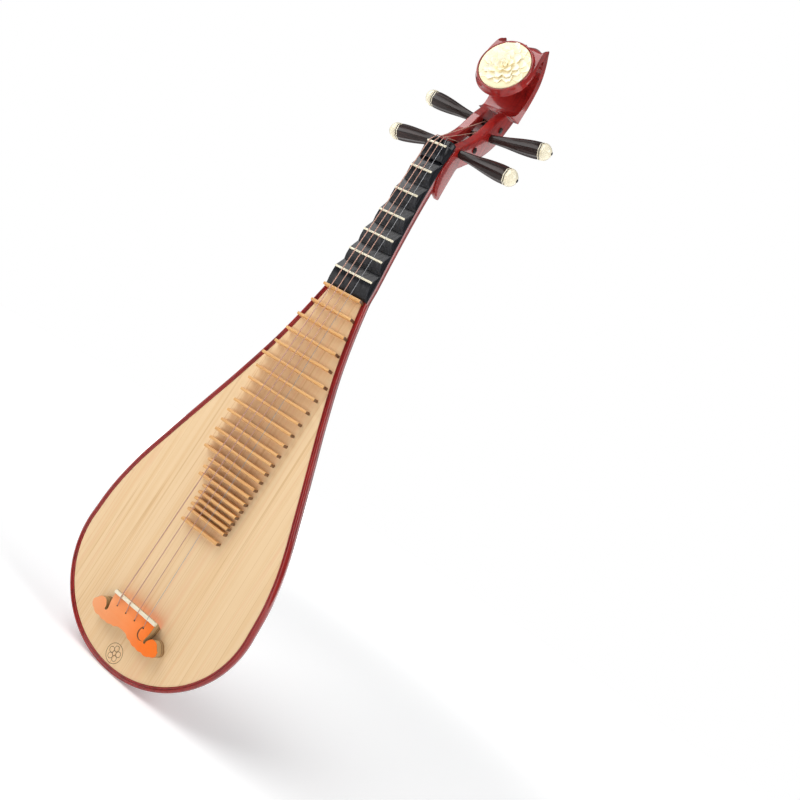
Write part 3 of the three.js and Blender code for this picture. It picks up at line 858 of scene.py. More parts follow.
class PIPA_OT_blocks(bpy.types.Operator):
    """Build the ebony neck blocks and the grooved nut block"""

    bl_idname = "pipa.blocks"
    bl_label = "Neck Blocks and Nut"

    def execute(self, context):
        for i in range(1, BLOCK_COUNT + 1):
            node = f"neck_block_{i}"
            low, high = node_box(node)
            strip_low, strip_high = node_box(f"neck_fret_{i}")
            ridge, top = -strip_high.y, strip_high.x + 0.3
            valley = 3.4
            z = (strip_low.z + strip_high.z) / 2
            low_z = low.z + (0.0 if i < BLOCK_COUNT else -1.0)
            wide = half_width(low_z) - 0.8
            knee = lerp(z, low_z, 0.62)
            block_piece(f"ebony_block_{i}", [
                (low_z, wide, valley),
                (lerp(z, low_z, 0.93), wide - 0.2, valley + 0.5),
                (knee, lerp(top, wide, 0.45), lerp(ridge, valley, 0.38)),
                (z - 1.6, top, ridge), (z + 1.6, top, ridge),
                (lerp(z, high.z, 0.94), half_width(high.z) - 0.9, valley + 0.4),
                (high.z, half_width(high.z) - 0.8, valley),
            ], node)
        self.nut()
        return {"FINISHED"}

    def nut(self):
        """The nut block: a stepped block whose far end is combed into string grooves."""
        low, high = node_box("nut_block")
        ridge = -node_box("nut_strip")[1].y
        body = [  # (height along the neck, half-width at the top, rise, half-width at the foot)
            (low.z, 17.6, 8.0, half_width(low.z) + 0.25), (NUT_Z - 1.7, 16.6, ridge, 20.4),
            (NUT_Z + 1.7, 16.6, ridge, 20.6), (NUT_Z + 3.2, 17.0, ridge - 3.6, 20.8),
            (high.z, 17.4, ridge - 4.6, half_width(high.z) + 1.6),
        ]
        parts = [loft([[at(x, y, z) for x, y in (
            (base, 0.0), (base, -4.5), (top, -rise), (-top, -rise), (-base, -4.5), (-base, 0.0))]
            for z, top, rise, base in body])]
        for left, right in NUT_TEETH:
            rings = []
            for z, rise in ((NUT_Z + 1.5, ridge - 0.2), (high.z - 2.2, ridge - 1.4),
                            (high.z - 0.2, ridge - 3.0)):
                rings.append([at(x, y, z) for x, y in (
                    (left, -ridge + 6), (left, -rise + 0.5), (left + 0.5, -rise),
                    (right - 0.5, -rise), (right, -rise + 0.5), (right, -ridge + 6))])
            parts.append(loft(rings))
        obj = loose("ebony_nut_block", *joined(parts))
        bevel(obj, 0.35, 25)
        finish_piece(obj, MATERIALS["ebony"], nodes=["nut_block"], sharp=25)


# ---- Bridge ----
BRIDGE_HALF = [  # the cloud outline's right half: (x, height from the saddle)
    (37.8, 0), (37.4, -8), (36.9, -16), (35.4, -22.5), (34.9, -26.4), (36.6, -28.6),
    (38.8, -27.0), (39.8, -23.4), (43.2, -19.4), (48.5, -17.4), (53.6, -19.2), (56.8, -22.6),
    (60.6, -27.4), (60.2, -31.8), (57.2, -35.4), (52.6, -37.4), (50.2, -39.2), (45.5, -40.4),
    (40.5, -39.6), (35.5, -40.9), (29, -40.0), (24, -40.4), (18, -38.2), (13.5, -38.0),
    (8, -35.0), (3.5, -34.4), (0, -34.2),
]
BRIDGE_PITCH = 16.5  # between strings


class PIPA_OT_bridge(bpy.types.Operator):
    """Build the cloud-shaped bamboo bridge with its string holes, and a dark line of painted shade for
    its hook
    """

    bl_idname = "pipa.bridge"
    bl_label = "Bridge"

    def execute(self, context):
        low = node_box("bridge")[0]
        half = [BRIDGE_HALF[0]] + spline(BRIDGE_HALF[1:], 70)
        ring = half + [(-x, z) for x, z in half[-2::-1]]
        levels = [  # (y, how far the outline is drawn in, how far the upper side is cut under)
            (0.0, 0.0, 8.5), (low.y + 3.0, 0.0, 0.5), (low.y + 1.0, 0.1, 0.0),
            (low.y + 0.3, 0.4, 0.0), (low.y, 1.0, 0.0),
        ]
        rings = []
        for y, inset, undercut in levels:
            level = []
            for x, z in ring:
                if z > -1:
                    z -= undercut
                elif z < -20:
                    z += inset * (0.9 if z < -28 else -0.6)
                level.append(at(x * (1 - inset / 48), y, SADDLE_Z + z))
            rings.append(level)
        obj = loose("cloud_bridge", *loft(rings))
        cutters = self.cutters(low.y)
        carve(obj, cutters)
        finish_piece(obj, MATERIALS["bridge"], nodes=["bridge"], sharp=40)
        discard(cutters)
        self.hook(low.y)
        sides = [float(abs(p.normal.y) < 0.5) for p in obj.data.polygons]
        store(obj.data, "skin", sides, "FACE")
        return {"FINISHED"}

    def cutters(self, face):
        """Drills for the string holes and the notches' round ends."""
        made = [self.drill(x * BRIDGE_PITCH, SADDLE_Z - 15.0, 1.3, face, 7)
                for x in (-1.5, -0.5, 0.5, 1.5)]
        made += [self.drill(s * 36.8, SADDLE_Z - 26.9, 2.0, face, 40) for s in (-1, 1)]
        return made

    def hook(self, face):
        """A dark curved line of painted shade, where a sawn slot would run from the last string hole
        round to the notch; no slot is cut.
        """
        curve = spline([(24.75, -12.6), (22.4, -16.6), (21.6, -21.6), (23.4, -26.2),
                        (28.4, -28.8), (34.6, -27.6)], 30)
        path = [at(x, face + 0.25, SADDLE_Z + z) for x, z in curve]
        rings = sweep(path, [(a, b * 0.5) for a, b in circle(0.95 * MM, 12)],
                      lambda t: 0.55 + 0.6 * math.sin(math.pi * min(1.0, t * 1.1)))
        # a dark line of painted shade standing in for the shadow inside a sawn slot
        new_piece("bridge_hook_slot_shade", *loft(rings), MATERIALS["burnt"], "bridge_bamboo")

    def drill(self, x, z, radius, face, depth):
        rings = [[at(x + a, y, z + b) for a, b in circle(radius, 20)]
                 for y in (face - 2, face + depth)]
        return loose("drill", *loft(rings))


# ---- Strings ----
STRINGS = [  # radius, metal, record slot, peg number; first string to fourth
    (0.30, "steel", "steel_string", 1), (0.50, "copper", "copper_string", 3),
    (0.60, "copper", "copper_string", 4), (0.70, "copper", "copper_string", 2),
]
GROOVE_XS = [7.8, 2.8, -2.8, -7.8]  # in the nut block's far end, first string to fourth
NUT_PITCH = 7.7


def peg_axis(number):
    """A peg's axis: a point on it in millimetres, and its outward direction."""
    joint = next(j for j in frame["joints"] if j["name"] == f"peg_{number}_turn")
    return (Vector(joint["pos_m"]) - SHIFT) / MM, Vector(joint["axis"]).normalized()


def peg_radius(s):
    """The shaft's radius at a distance along its axis from the middle of the pegbox."""
    return lerp(5.2, 4.2, (22 - s) / 44)


class PIPA_OT_strings(bpy.types.Operator):
    """Run the four strings from the bridge over the saddle and nut to their pegs"""

    bl_idname = "pipa.strings"
    bl_label = "Strings"

    def execute(self, context):
        saddle_top = -node_box("bridge_saddle")[0].y
        nut_top = -node_box("nut_strip")[0].y
        face = node_box("bridge")[0].y
        for i, (radius, metal, slot, number) in enumerate(STRINGS):
            place = 1.5 - i
            x_saddle, x_nut, x_groove = place * BRIDGE_PITCH, place * NUT_PITCH, GROOVE_XS[i]
            over_saddle, over_nut = -saddle_top - radius, -nut_top - radius
            centre, axis = peg_axis(number)
            start = Vector((-11.5, NUT_Z + 12))
            run = Vector((centre.y, centre.z)) - start
            reach = peg_radius(0) + radius
            swing = math.asin(reach / run.length)
            touch = start + (Matrix.Rotation(swing, 2) @ run) * math.cos(swing)
            corners = [
                (x_saddle, face + 3.5, SADDLE_Z - 15.4), (x_saddle, face - 0.2, SADDLE_Z - 14.6),
                (x_saddle, over_saddle, SADDLE_Z - 2.2), (x_saddle, over_saddle, SADDLE_Z - 0.6),
                (x_nut, over_nut, NUT_Z - 0.8), (x_nut, over_nut, NUT_Z + 0.8),
                (x_groove, -11.0 - radius, NUT_Z + 12),
                (x_groove * 0.8, touch.x, touch.y),
            ]
            rings = sweep([at(*p) for p in corners], circle(radius * MM, 12))
            new_piece(f"string_{i + 1}_wire", *loft(rings), MATERIALS[metal], slot,
                      nodes=[f"string_{i + 1}"], sharp=80)
            self.winding(number, radius, x_groove * 0.8, centre, axis, touch, metal, slot)
        return {"FINISHED"}

    def winding(self, number, radius, x, centre, axis, touch, metal, slot):
        """Close turns round the peg's shaft, which start beside the end of the string."""
        side = Vector((0, touch.x - centre.y, touch.y - centre.z)).normalized()
        side = (side - axis * side.dot(axis)).normalized()
        other = axis.cross(side)
        along = (x - centre.x) / axis.x
        inward = -math.copysign(1, x) * math.copysign(1, axis.x)
        turns, sides = 5, 18
        path = []
        for k in range(turns * sides + 1):
            angle = math.tau * k / sides
            s = along + inward * radius * (2.3 + 2.15 * k / sides)
            ring = peg_radius(s) + radius * 0.95
            point = centre + axis * s + (side * math.cos(angle) + other * math.sin(angle)) * ring
            path.append(at(*point))
        rings = sweep(path, circle(radius * MM, 8))
        new_piece(f"peg_{number}_winding", *loft(rings), MATERIALS[metal], slot,
                  body=f"peg_{number}", sharp=80)


# ---- Pegs ----
# The handle's profile: (distance along the axis from the middle of the pegbox, radius).
HANDLE = [(23.4, 5.6), (27, 6.0), (35, 6.5), (50, 8.0), (70, 10.5), (86, 11.8), (95, 11.9),
          (98.6, 11.6)]
DOME = [(102.5, 11.4), (103.0, 11.95), (104.2, 12.0), (107, 11.4), (110.2, 9.6), (113.2, 6.6),
        (115.1, 3.4), (115.7, 1.9)]
RINGS = [  # start, end, radius, finish, record slot
    (98.3, 100.0, 11.75, "bone", "bone"), (99.9, 101.3, 11.85, "peg", "peg_wood"),
    (101.2, 102.6, 11.95, "bone", "bone"),
]
FLUTES = 8
CAP_START = 99
CAP_SHARE = 0.8  # of the handle's flute depth, on the rings and the cap


def fluted(s, angle, radius, depth):
    """The peg's radius at an angle: shallow hollows between narrow ridges."""
    wave = abs(math.cos(angle * FLUTES / 2))
    return radius * (1 - depth * wave * smooth_step(26, 60, s))


def peg_skin(number, stations, sides=FLUTES * 8):
    """A skin round a peg's axis, from stations of (distance along it, radius at an angle)."""
    centre, axis = peg_axis(number)
    side = Vector((0, 1, 0))
    other = axis.cross(side).normalized()
    turns = [(a, side * math.cos(a) + other * math.sin(a))
             for a in np.linspace(0, math.tau, sides + 1)[:-1]]
    return loft([[at(*(centre + axis * s + way * radius(a))) for a, way in turns]
                 for s, radius in stations])


def plain(radius):
    return lambda angle: radius


def hollowed(s, radius, depth):
    return lambda angle: fluted(s, angle, radius, depth)


class PIPA_OT_pegs(bpy.types.Operator):
    """Turn the four fluted pegs with their rings, bone caps and end dots"""

    bl_idname = "pipa.pegs"
    bl_label = "Pegs"

    def execute(self, context):
        depth = context.scene.pipa_sizes.flute_depth
        for number in range(1, PEG_COUNT + 1):
            body = f"peg_{number}"
            shaft = [(-24.4, 3.2), (-24.2, 3.9), (-23.6, 4.15)] + [
                (s, peg_radius(s)) for s in (-22, 0, 22, 23.3)]
            stations = [(s, plain(r)) for s, r in shaft]
            stations += [(s, hollowed(s, r, depth)) for s, r in spline(HANDLE, 40)]
            new_piece(f"{body}_handle", *peg_skin(number, stations), MATERIALS["peg"],
                      "peg_wood", body, nodes=[body], sharp=45)
            self.rings(number, body, depth * CAP_SHARE)
            self.cap(number, body, depth * CAP_SHARE)
        return {"FINISHED"}

    def rings(self, number, body, depth):
        """Bone, dark and bone rings between the handle and the cap."""
        for k, (low, high, swell, finish, slot) in enumerate(RINGS):
            stations = [(s, hollowed(CAP_START, r, depth)) for s, r in (
                (low, swell - 0.5), (low + 0.35, swell), (high - 0.35, swell),
                (high, swell - 0.5))]
            new_piece(f"{body}_ring_{k + 1}", *peg_skin(number, stations), MATERIALS[finish],
                      slot, body)

    def cap(self, number, body, depth):
        """The domed bone cap, whose flutes fade towards its end, and the dark dot there."""
        stations = [(s, hollowed(CAP_START, r, depth * (1 - smooth_step(102, 108, s))))
                    for s, r in spline(DOME, 16)]
        new_piece(f"{body}_bone_cap", *peg_skin(number, stations), MATERIALS["bone"], "bone",
                  body, nodes=[f"peg_cap_{number}"], sharp=45)
        dot = [(s, plain(r)) for s, r in ((114.8, 2.3), (115.9, 2.3), (116.3, 1.9), (116.5, 0.9))]
        new_piece(f"{body}_end_dot", *peg_skin(number, dot, 20), MATERIALS["ebony"], "ebony",
                  body)


# ---- Pegbox and plate ----
# The pegbox's edges seen from the side: (height, distance behind the soundboard's face).
FRONT_EDGE = [(792.3, 0), (800, 0), (806, 1), (820, 11.8), (835, 25), (850, 36), (865, 44.4),
              (880, 50.4), (895, 56.4), (914.5, 67)]
REAR_EDGE = [(792.3, 30), (797, 31), (802, 36), (810, 43), (825, 57), (840, 68.6), (855, 78.5),
             (870, 86), (885, 91.4), (900, 95.2), (914.5, 98.2)]
PRONG_FRONT = [(745.6, 20), (746.6, 17), (750, 11), (758, 5), (768, 1), (800, 0)]
PRONG_REAR = [(745.6, 32.4), (746.6, 33.6), (752, 33), (771, 31), (800, 29)]
SLOT_HALF = 8.75


def rounded_section(x0, x1, y0, y1, radii, z, lift=0.0, steps=6):
    """A rounded rectangle at a height; radii are for front left, front right and the rear."""
    ring = []
    corners = ((x1, y0, 1, 1, radii[1], -90), (x1, y1, 1, -1, radii[2], 0),
               (x0, y1, -1, -1, radii[2], 90), (x0, y0, -1, 1, radii[0], 180))
    for x, y, sx, sy, radius, start in corners:
        cx, cy = x - sx * radius, y + sy * radius
        for k in range(steps + 1):
            a = math.radians(start + 90 * k / steps)
            px, py = cx + radius * math.cos(a), cy + radius * math.sin(a)
            ring.append(at(px, py, z + lift * (py - y0) / (y1 - y0)))
    return ring


class PIPA_OT_pegbox(bpy.types.Operator):
    """Build the curved pegbox with its open slot and the two prongs that clasp the neck"""

    bl_idname = "pipa.pegbox"
    bl_label = "Pegbox"

    def execute(self, context):
        low, half = node_box("pegbox")[0].z, node_box("pegbox")[1].x
        rings = []
        for z in np.linspace(FRONT_EDGE[0][0], FRONT_EDGE[-1][0], 80):
            y0, y1 = value_along(FRONT_EDGE, z), value_along(REAR_EDGE, z)
            soft = lerp(1.2, 3.0, smooth_step(800, 830, z))
            lift = 10.7 * smooth_step(880, 914.5, z)
            rings.append(rounded_section(-half, half, y0, y1, (soft, soft, 2.2), z, lift))
        core = loose("pegbox_core", *loft(rings))
        seat = node_box("neck_back_plate")[1].x + 0.6
        tools = [self.block("slot", SLOT_HALF, -60, 160, 805, 919),
                 self.block("seat", seat, 25, 160, low, 811.6)]
        carve(core, tools)
        finish_piece(core, MATERIALS["lacquer"], nodes=["pegbox"], sharp=35)
        discard(tools)
        self.prongs(half)
        self.plate()
        return {"FINISHED"}

    def prongs(self, half):
        """The two prongs that clasp the neck's sides."""
        parts = []
        for side in (-1, 1):
            rings = []
            for z in np.linspace(PRONG_FRONT[0][0], PRONG_FRONT[-1][0], 40):
                y0, y1 = value_along(PRONG_FRONT, z), value_along(PRONG_REAR, z)
                x0, x1 = sorted((side * 15.3, side * (half - 0.02)))
                radii = (1.0, 0.4, 1.6) if side < 0 else (0.4, 1.0, 1.6)
                rings.append(rounded_section(x0, x1, y0, y1, radii, z))
            parts.append(loft(rings))
        new_piece("pegbox_prongs", *joined(parts), MATERIALS["lacquer"], "red_lacquered_wood",
                  sharp=40)

    def block(self, name, half, y0, y1, z0, z1):
        corners = [(y0, z0), (y1, z0), (y1, z1), (y0, z1)]
        return loose(name, *loft([[at(x, y, z) for y, z in corners] for x in (-half, half)]))

    def plate(self):
        """The dark octagonal plate on the neck's back, with two small pearl blossoms."""
        low, high = node_box("neck_back_plate")

        def octagon(inset):
            a, c, z0, z1 = high.x - inset, 6.0, low.z + inset, high.z - inset
            return [(a - c, z0), (a, z0 + c), (a, z1 - c), (a - c, z1), (c - a, z1),
                    (-a, z1 - c), (-a, z0 + c), (c - a, z0)]

        rings = [[at(x, y, z) for x, z in octagon(inset)]
                 for inset, y in ((0, low.y - 3), (0, high.y - 1.0), (0.35, high.y - 0.35),
                                  (1.0, high.y))]
        new_piece("name_plate", *loft(rings), MATERIALS["ebony"], "ebony",
                  nodes=["neck_back_plate"], sharp=25)
        parts = [blossom(0, (low.z + high.z) / 2 + dz, high.y, 7.0) for dz in (-13, 13)]
        new_piece("plate_pearl_blossoms", *joined(parts), MATERIALS["pearl"], "bone", sharp=60)


def blossom(x, z, y, radius):
    """A low five-petalled flower lying on a face that looks along +Y."""
    rings = []
    for shrink, lift in ((1.0, -0.4), (1.0, 0.125), (0.9, 0.25), (0.0, 0.25)):
        ring = []
        for i in range(60):
            a = math.tau * i / 60
            lobe = 0.55 + 0.45 * abs(math.cos(a * 5 / 2)) ** 0.6
            r = max(radius * lobe * shrink, 0.02)
            ring.append(at(x + r * math.sin(a), y + lift, z + r * math.cos(a)))
        rings.append(ring)
    return loft(rings)


# ---- Scroll head ----
INLAY_LOW, INLAY_HIGH = node_box("head_flower_inlay")
SHIELD_Z = (INLAY_LOW.z + INLAY_HIGH.z) / 2
SHIELD_Y = INLAY_HIGH.y + 0.3


def head_stations():
    """Stations of the head's ribbon: outer and inner (y, z), and their half-widths."""
    stations = [
        ((99, 925.4), (68.5, 915.2), 28.5, 26.8), ((98.4, 932), (79, 925), 28.6, 28.2),
        ((97, 942), (82.6, 937), 29.2, 29.2), ((94.6, 956), (82, 951), 30.2, 30.2),
        ((90, 972), (78.6, 965), 31.4, 31.4), ((82.5, 987), (72.6, 978), 32.8, 32.8),
        ((68, 1002), (62, 990), 34.2, 34.2), ((48.5, 1013), (48.5, 997), 35.4, 36.4),
        ((40, 1009), (42.5, 992), 35.8, 37.4), ((33, 1001), (38.5, 985), 36.9, 39.4),
        ((29.8, 988), (36, 975), 38.8, 41.4), ((28.6, 974), (34.4, 966), 40.3, 42.7),
        ((28, 960), (33.8, 958), 40.8, 43.2),
    ]
    for drop in (10, 20, 28, 34, 38, 40.5):
        stations.append(((28, SHIELD_Z - drop), (33.8, SHIELD_Z - drop),
                         math.sqrt(40.8**2 - drop**2), math.sqrt(43.2**2 - drop**2)))
    return stations


CARVING_DEPTH = 7.0


def carving(s, behind):
    """How far the ribbon's face stands off its plain shape, across it and from its crest.

    Two lobes and a small ridge rise between the horns, and fade down the back as flutes.
    """
    if behind >= 0:
        fade = 1 - smooth_step(6, 92, behind)
        ridge_fade = 1 - smooth_step(14, 42, behind)
    else:
        fade = ridge_fade = 1 - smooth_step(3, 26, -behind)
    reach = max(0.0, math.cos(math.pi / 2 * (abs(s) - 0.44) / 0.41)) if abs(s) < 0.86 else 0.0
    lobe = reach**0.85 * 0.86
    ridge = math.exp(-((s / 0.045) ** 2)) * ridge_fade
    lip = smooth_step(0.92, 1.0, abs(s))
    tip = smooth_step(0.9, 1.0, abs(s)) * math.exp(-((behind / 4.0) ** 2)) * 1.6
    crown = (1 - s * s) * 1.6 * (1 - fade) if behind >= 0 else 0.0
    return CARVING_DEPTH * fade * (max(lobe, ridge, lip) - 1) + crown + tip


def head_ribbon(samples, across):
    """The ribbon as rings that run round it, with its lobes, ridge and horns."""
    rows = [(*o, *i, a, b) for o, i, a, b in head_stations()]
    fine = spline(rows, samples)
    lengths = [0.0]
    for before, after in zip(fine, fine[1:]):
        lengths.append(lengths[-1] + math.dist(before[:2], after[:2]))
    peak = max(range(samples), key=lambda k: fine[k][1])
    steps = [lerp(-1, 1, j / across) for j in range(across + 1)]
    steps = [math.copysign(1 - (1 - abs(s)) ** 1.25, s) for s in steps]
    rings = []
    for k, (oy, oz, iy, iz, outer_half, inner_half) in enumerate(fine):
        behind = lengths[peak] - lengths[k]
        outward = (Vector((oy, oz)) - Vector((iy, iz))).normalized()
        ring = []
        for s in steps:
            y, z = Vector((oy, oz)) + outward * carving(s, behind)
            ring.append(at(s * outer_half, y, z))
        for s in reversed(steps):
            y, z = Vector((iy, iz)) + outward * (1 - s * s) * 1.5
            ring.append(at(s * inner_half, y, z))
        rings.append(ring)
    return rings


def shield_disc():
    """The shield under the flower: a floor, a groove, a round bead and a flared side."""
    profile = [  # (radius, depth behind the flower's face)
        (1.0, 0.5), (36.6, 0.5), (37.4, 1.3), (37.7, 0.2), (38.2, -0.6), (39.0, -0.9),
        (39.8, -0.6), (40.3, 0.3), (40.6, 1.4), (41.0, 3.0), (41.7, 5.2), (42.7, 7.4),
        (43.5, 8.6), (43.7, 9.4), (43.2, 10.0), (30.0, 10.0), (1.0, 10.0),
    ]
    return loft([[at(x, SHIELD_Y + depth, SHIELD_Z + z) for x, z in circle(radius, 96)]
                 for radius, depth in profile])


class PIPA_OT_head(bpy.types.Operator):
    """Carve the scroll head with its lobes, horns and beaded shield"""

    bl_idname = "pipa.head"
    bl_label = "Scroll Head"

    def execute(self, context):
        parts = [loft(head_ribbon(150, 72)), shield_disc()]
        new_piece("scroll_head", *joined(parts), MATERIALS["lacquer"], "red_lacquered_wood",
                  nodes=["head_scroll"], sharp=50)
        return {"FINISHED"}


def petal():
    """One broad cupped petal with a ruffled edge, pointing along +X, with its height stored for the
    carving's painted shade.
    """
    along, across = 11, 15
    length, width, thick = 17.0, 14.0, 1.0
    top, under, heights = [], [], []
    for i in range(along):
        u = i / (along - 1)
        spread = 0.30 + 0.70 * math.sin(math.pi * min(1.0, u / 0.62) / 2) * (1 - 0.35 * u**4)
        for j in range(across):
            v = lerp(-1, 1, j / (across - 1))
            ruffle = 0.5 * math.cos(v * 7.0) * u**2
            notch = 1.2 * math.exp(-((v / 0.18) ** 2)) * u**5
            x = (length * u - notch - 4.2 * v * v * u * u) * MM
            y = v * width / 2 * spread * MM
            z = (2.6 * v * v * spread + 3.0 * u * u - 1.6 * u**6 + ruffle) * MM
            top.append((x, y, z))
            under.append((x, y, z - thick * MM))
            # how far up the petal: the carving's painted shade is strongest at the base and gone at
            # the tip
            heights.append(0.15 + 0.85 * u)
    faces = []
    size = along * across
    for i in range(along - 1):
        for j in range(across - 1):
            a = i * across + j
            faces.append((a, a + across, a + across + 1, a + 1))
            faces.append((a + size, a + size + 1, a + size + across + 1, a + size + across))
    rim = list(range(across)) + [i * across + across - 1 for i in range(1, along)]
    rim += [(along - 1) * across + j for j in range(across - 2, -1, -1)]
    rim += [i * across for i in range(along - 2, 0, -1)]
    for a, b in zip(rim, rim[1:] + rim[:1]):
        faces.append((a, b, b + size, a + size))
    obj = mesh_object("carved_flower", top + under, faces)
    # the undersides get height 0, the full painted shade
    store(obj.data, "height", heights + [0.0] * size)
    return obj


PETAL_RINGS = [  # count, radius, tilt in degrees, scale, rise, start angle
    (13, 20.2, 1, 0.98, 0.9, 0.1), (11, 14.5, 11, 1.02, 1.7, 0.3), (8, 9.0, 22, 0.98, 2.4, 0.0),
    (6, 4.6, 40, 0.82, 2.9, 0.5), (4, 1.4, 64, 0.62, 3.0, 0.9),
]
FLOWER_FLATNESS = 0.48


class PIPA_OT_flower(bpy.types.Operator):
    """Carve the cream flower inlay: a low round base under rings of ruffled petals"""

    bl_idname = "pipa.flower"
    bl_label = "Flower Inlay"

    def execute(self, context):
        turn = Matrix(((1, 0, 0), (0, 0, -1), (0, 1, 0)))
        place = Matrix.LocRotScale(at(0, SHIELD_Y, SHIELD_Z), turn.to_quaternion(), None)
        obj = petal()
        petal_tree(PETAL_RINGS, MATERIALS["cream"]).put_on(obj)
        bake_modifiers(obj)
        obj.data.transform(place @ Matrix.Diagonal((1.0, 1.0, FLOWER_FLATNESS, 1.0)))
        finish_piece(obj, MATERIALS["cream"], nodes=["head_flower_inlay"],
                     sharp=60)
        base = []
        for radius, out in ((36.9, -0.4), (36.9, 0.8), (36.2, 1.5), (31.0, 2.2), (18.0, 2.6)):
            base.append([place @ (Vector((x, y, out)) * MM) for x, y in circle(radius, 72)])
        plate = new_piece("flower_base", *loft(base), MATERIALS["cream"], "carved_bone", sharp=50)
        # a height of 0.3 gives the base part of the carving's painted shade
        store(plate.data, "height", [0.3] * len(plate.data.vertices))
        return {"FINISHED"}


# ---- Gold sprig on the back ----
def leaf_half(t):
    """A leaf's half-width along its length, in millimetres."""
    return 0.15 + 2.1 * math.sin(math.pi * min(t * 1.02, 1)) ** 0.8


class PIPA_OT_sprig(bpy.types.Operator):
    """Paint two gold stems of leaves on the back, as raised lines of gold"""

    bl_idname = "pipa.sprig"
    bl_label = "Gold Sprig"

    def execute(self, context):
        stems = [[(1.02, 330), (1.12, 300), (1.17, 265), (1.27, 225), (1.38, 185), (1.52, 150)],
                 [(0.82, 275), (0.90, 245), (1.02, 205), (1.12, 170), (1.24, 140)]]
        parts = []
        for stem in stems:
            fine = spline(stem, 40)
            parts.append(self.stroke(fine, lambda t: 0.7 - 0.45 * t))
            for k in range(3, 38, 3):
                angle, z = fine[k]
                way = 1 if k % 2 else -1
                for bend, size in ((0.35, 17), (0.9, 12)):
                    reach = size * (1 - 0.35 * k / 38)
                    tip = (angle + way * reach / 115 * math.sin(bend + 0.4),
                           z - reach * math.cos(bend))
                    belly = ((angle + tip[0]) / 2 + way * 0.012, (z + tip[1]) / 2)
                    parts.append(self.stroke(spline([fine[k], belly, tip], 10), leaf_half))
        new_piece("gold_sprig", *joined(parts), MATERIALS["gold"], "gold_ornament", sharp=70)
        return {"FINISHED"}

    def stroke(self, path, half):
        """A flat brush stroke that hugs the back; path is in (angle, height)."""
        places = [Vector(on_back(z, a)) for a, z in path]
        rings = []
        last = len(path) - 1
        for i, (angle, z) in enumerate(path):
            ahead = (places[min(i + 1, last)] - places[max(i - 1, 0)]).normalized()
            up = (Vector(on_back(z, angle, 1.0)) - places[i]).normalized()
            side = ahead.cross(up).normalized()
            width = max(half(i / last), 0.06)
            rings.append([at(*(places[i] + side * s * width + up * h)) for s, h in (
                (-1, -0.4), (-1, 0.10), (-0.5, 0.22), (0, 0.28), (0.5, 0.22), (1, 0.10),
                (1, -0.4))])
        return loft(rings)


# ---- Stage ----
def direction(azimuth, elevation):
    """Outwards from the lute: azimuth is from its front towards its right-hand side."""
    return Vector((math.sin(azimuth) * math.cos(elevation),
                   -math.cos(azimuth) * math.cos(elevation), math.sin(elevation)))


LAMPS = [  # name, azimuth and elevation in degrees, distance and size in metres
    ("key_softbox", -44, 42, 2.4, (2.2, 2.2)), ("fill_softbox", 78, 30, 2.6, (1.2, 1.6)),
    ("right_strip", 154, 4, 2.6, (0.7, 2.6)), ("left_strip", -138, 12, 2.6, (0.45, 2.2)),
]


class PIPA_OT_stage(bpy.types.Operator):
    """Lay the pale floor, hang the soft lights and set the camera"""

    bl_idname = "pipa.stage"
    bl_label = "Stage"

    def execute(self, context):
        stage = context.scene.pipa_stage
        edge = [(x, y, 0) for x, y in circle(stage.floor_radius, 96)]
        floor = mesh_object("floor", edge, [tuple(range(96))])
        floor.data.materials.append(MATERIALS["floor"])
        self.surround(context, stage)
        middle = (CAD_BOX[0] + CAD_BOX[1]) / 2
        powers = (stage.key_power, stage.fill_power, stage.strip_power, stage.strip_power / 2)
        for lamp, power in zip(LAMPS, powers):
            self.lamp(context, middle, power, *lamp)
        self.camera(context, stage, middle)
        context.scene.view_settings.view_transform = "Standard"
        context.scene.view_settings.exposure = stage.exposure
        return {"FINISHED"}

    def lamp(self, context, middle, power, name, azimuth, elevation, distance, size):
        """A soft rectangular light that looks at the middle of the lute."""
        light = bpy.data.lights.new(name, "AREA")
        light.shape = "RECTANGLE"
        light.size, light.size_y = size
        light.energy = power
        lamp = bpy.data.objects.new(name, light)
        lamp.location = middle + direction(math.radians(azimuth),
                                           math.radians(elevation)) * distance
        lamp.rotation_euler = (middle - lamp.location).to_track_quat("-Z", "Y").to_euler()
        context.scene.collection.objects.link(lamp)

    def surround(self, context, stage):
        """A white surround to look at, which lights the lute only as strongly as a dim room."""
        world = bpy.data.worlds.new("Studio")
        context.scene.world = world
        world.use_nodes = True
        nodes, links = world.node_tree.nodes, world.node_tree.links
        room = nodes["Background"]
        room.inputs["Color"].default_value = (0.96, 0.98, 1.0, 1.0)
        room.inputs["Strength"].default_value = stage.surround
        backdrop = nodes.new("ShaderNodeBackground")
        backdrop.inputs["Color"].default_value = (1.0, 1.0, 1.0, 1.0)
        seen = nodes.new("ShaderNodeLightPath").outputs["Is Camera Ray"]
        mixed = nodes.new("ShaderNodeMixShader")
        links.new(seen, mixed.inputs[0])
        links.new(room.outputs[0], mixed.inputs[1])
        links.new(backdrop.outputs[0], mixed.inputs[2])
        links.new(mixed.outputs[0], nodes["World Output"].inputs["Surface"])

    def camera(self, context, stage, middle):
        """The camera looks from the front right, rolled so that the lute leans across the view."""
        data = bpy.data.cameras.new("camera")
        data.lens = stage.lens
        data.sensor_width = 36.0
        camera = bpy.data.objects.new("camera", data)
        back = direction(stage.azimuth, stage.elevation)
        turn = (-back).to_track_quat("-Z", "Y").to_matrix()
        roll = Matrix.Rotation(stage.roll, 3, "Z")
        camera.matrix_world = Matrix.Translation(
            middle + Vector(stage.aim) + back * stage.distance) @ (turn @ roll).to_4x4()
        context.scene.collection.objects.link(camera)
        context.scene.camera = camera


# ---- Settings, panel and registration ----
def colour_setting(name, description, value):
    return bpy.props.FloatVectorProperty(
        name=name, description=description, subtype="COLOR", size=4, min=0, max=1,
        default=(*value, 1.0))


def number(name, description, default, **more):
    return bpy.props.FloatProperty(name=name, description=description, default=default, **more)


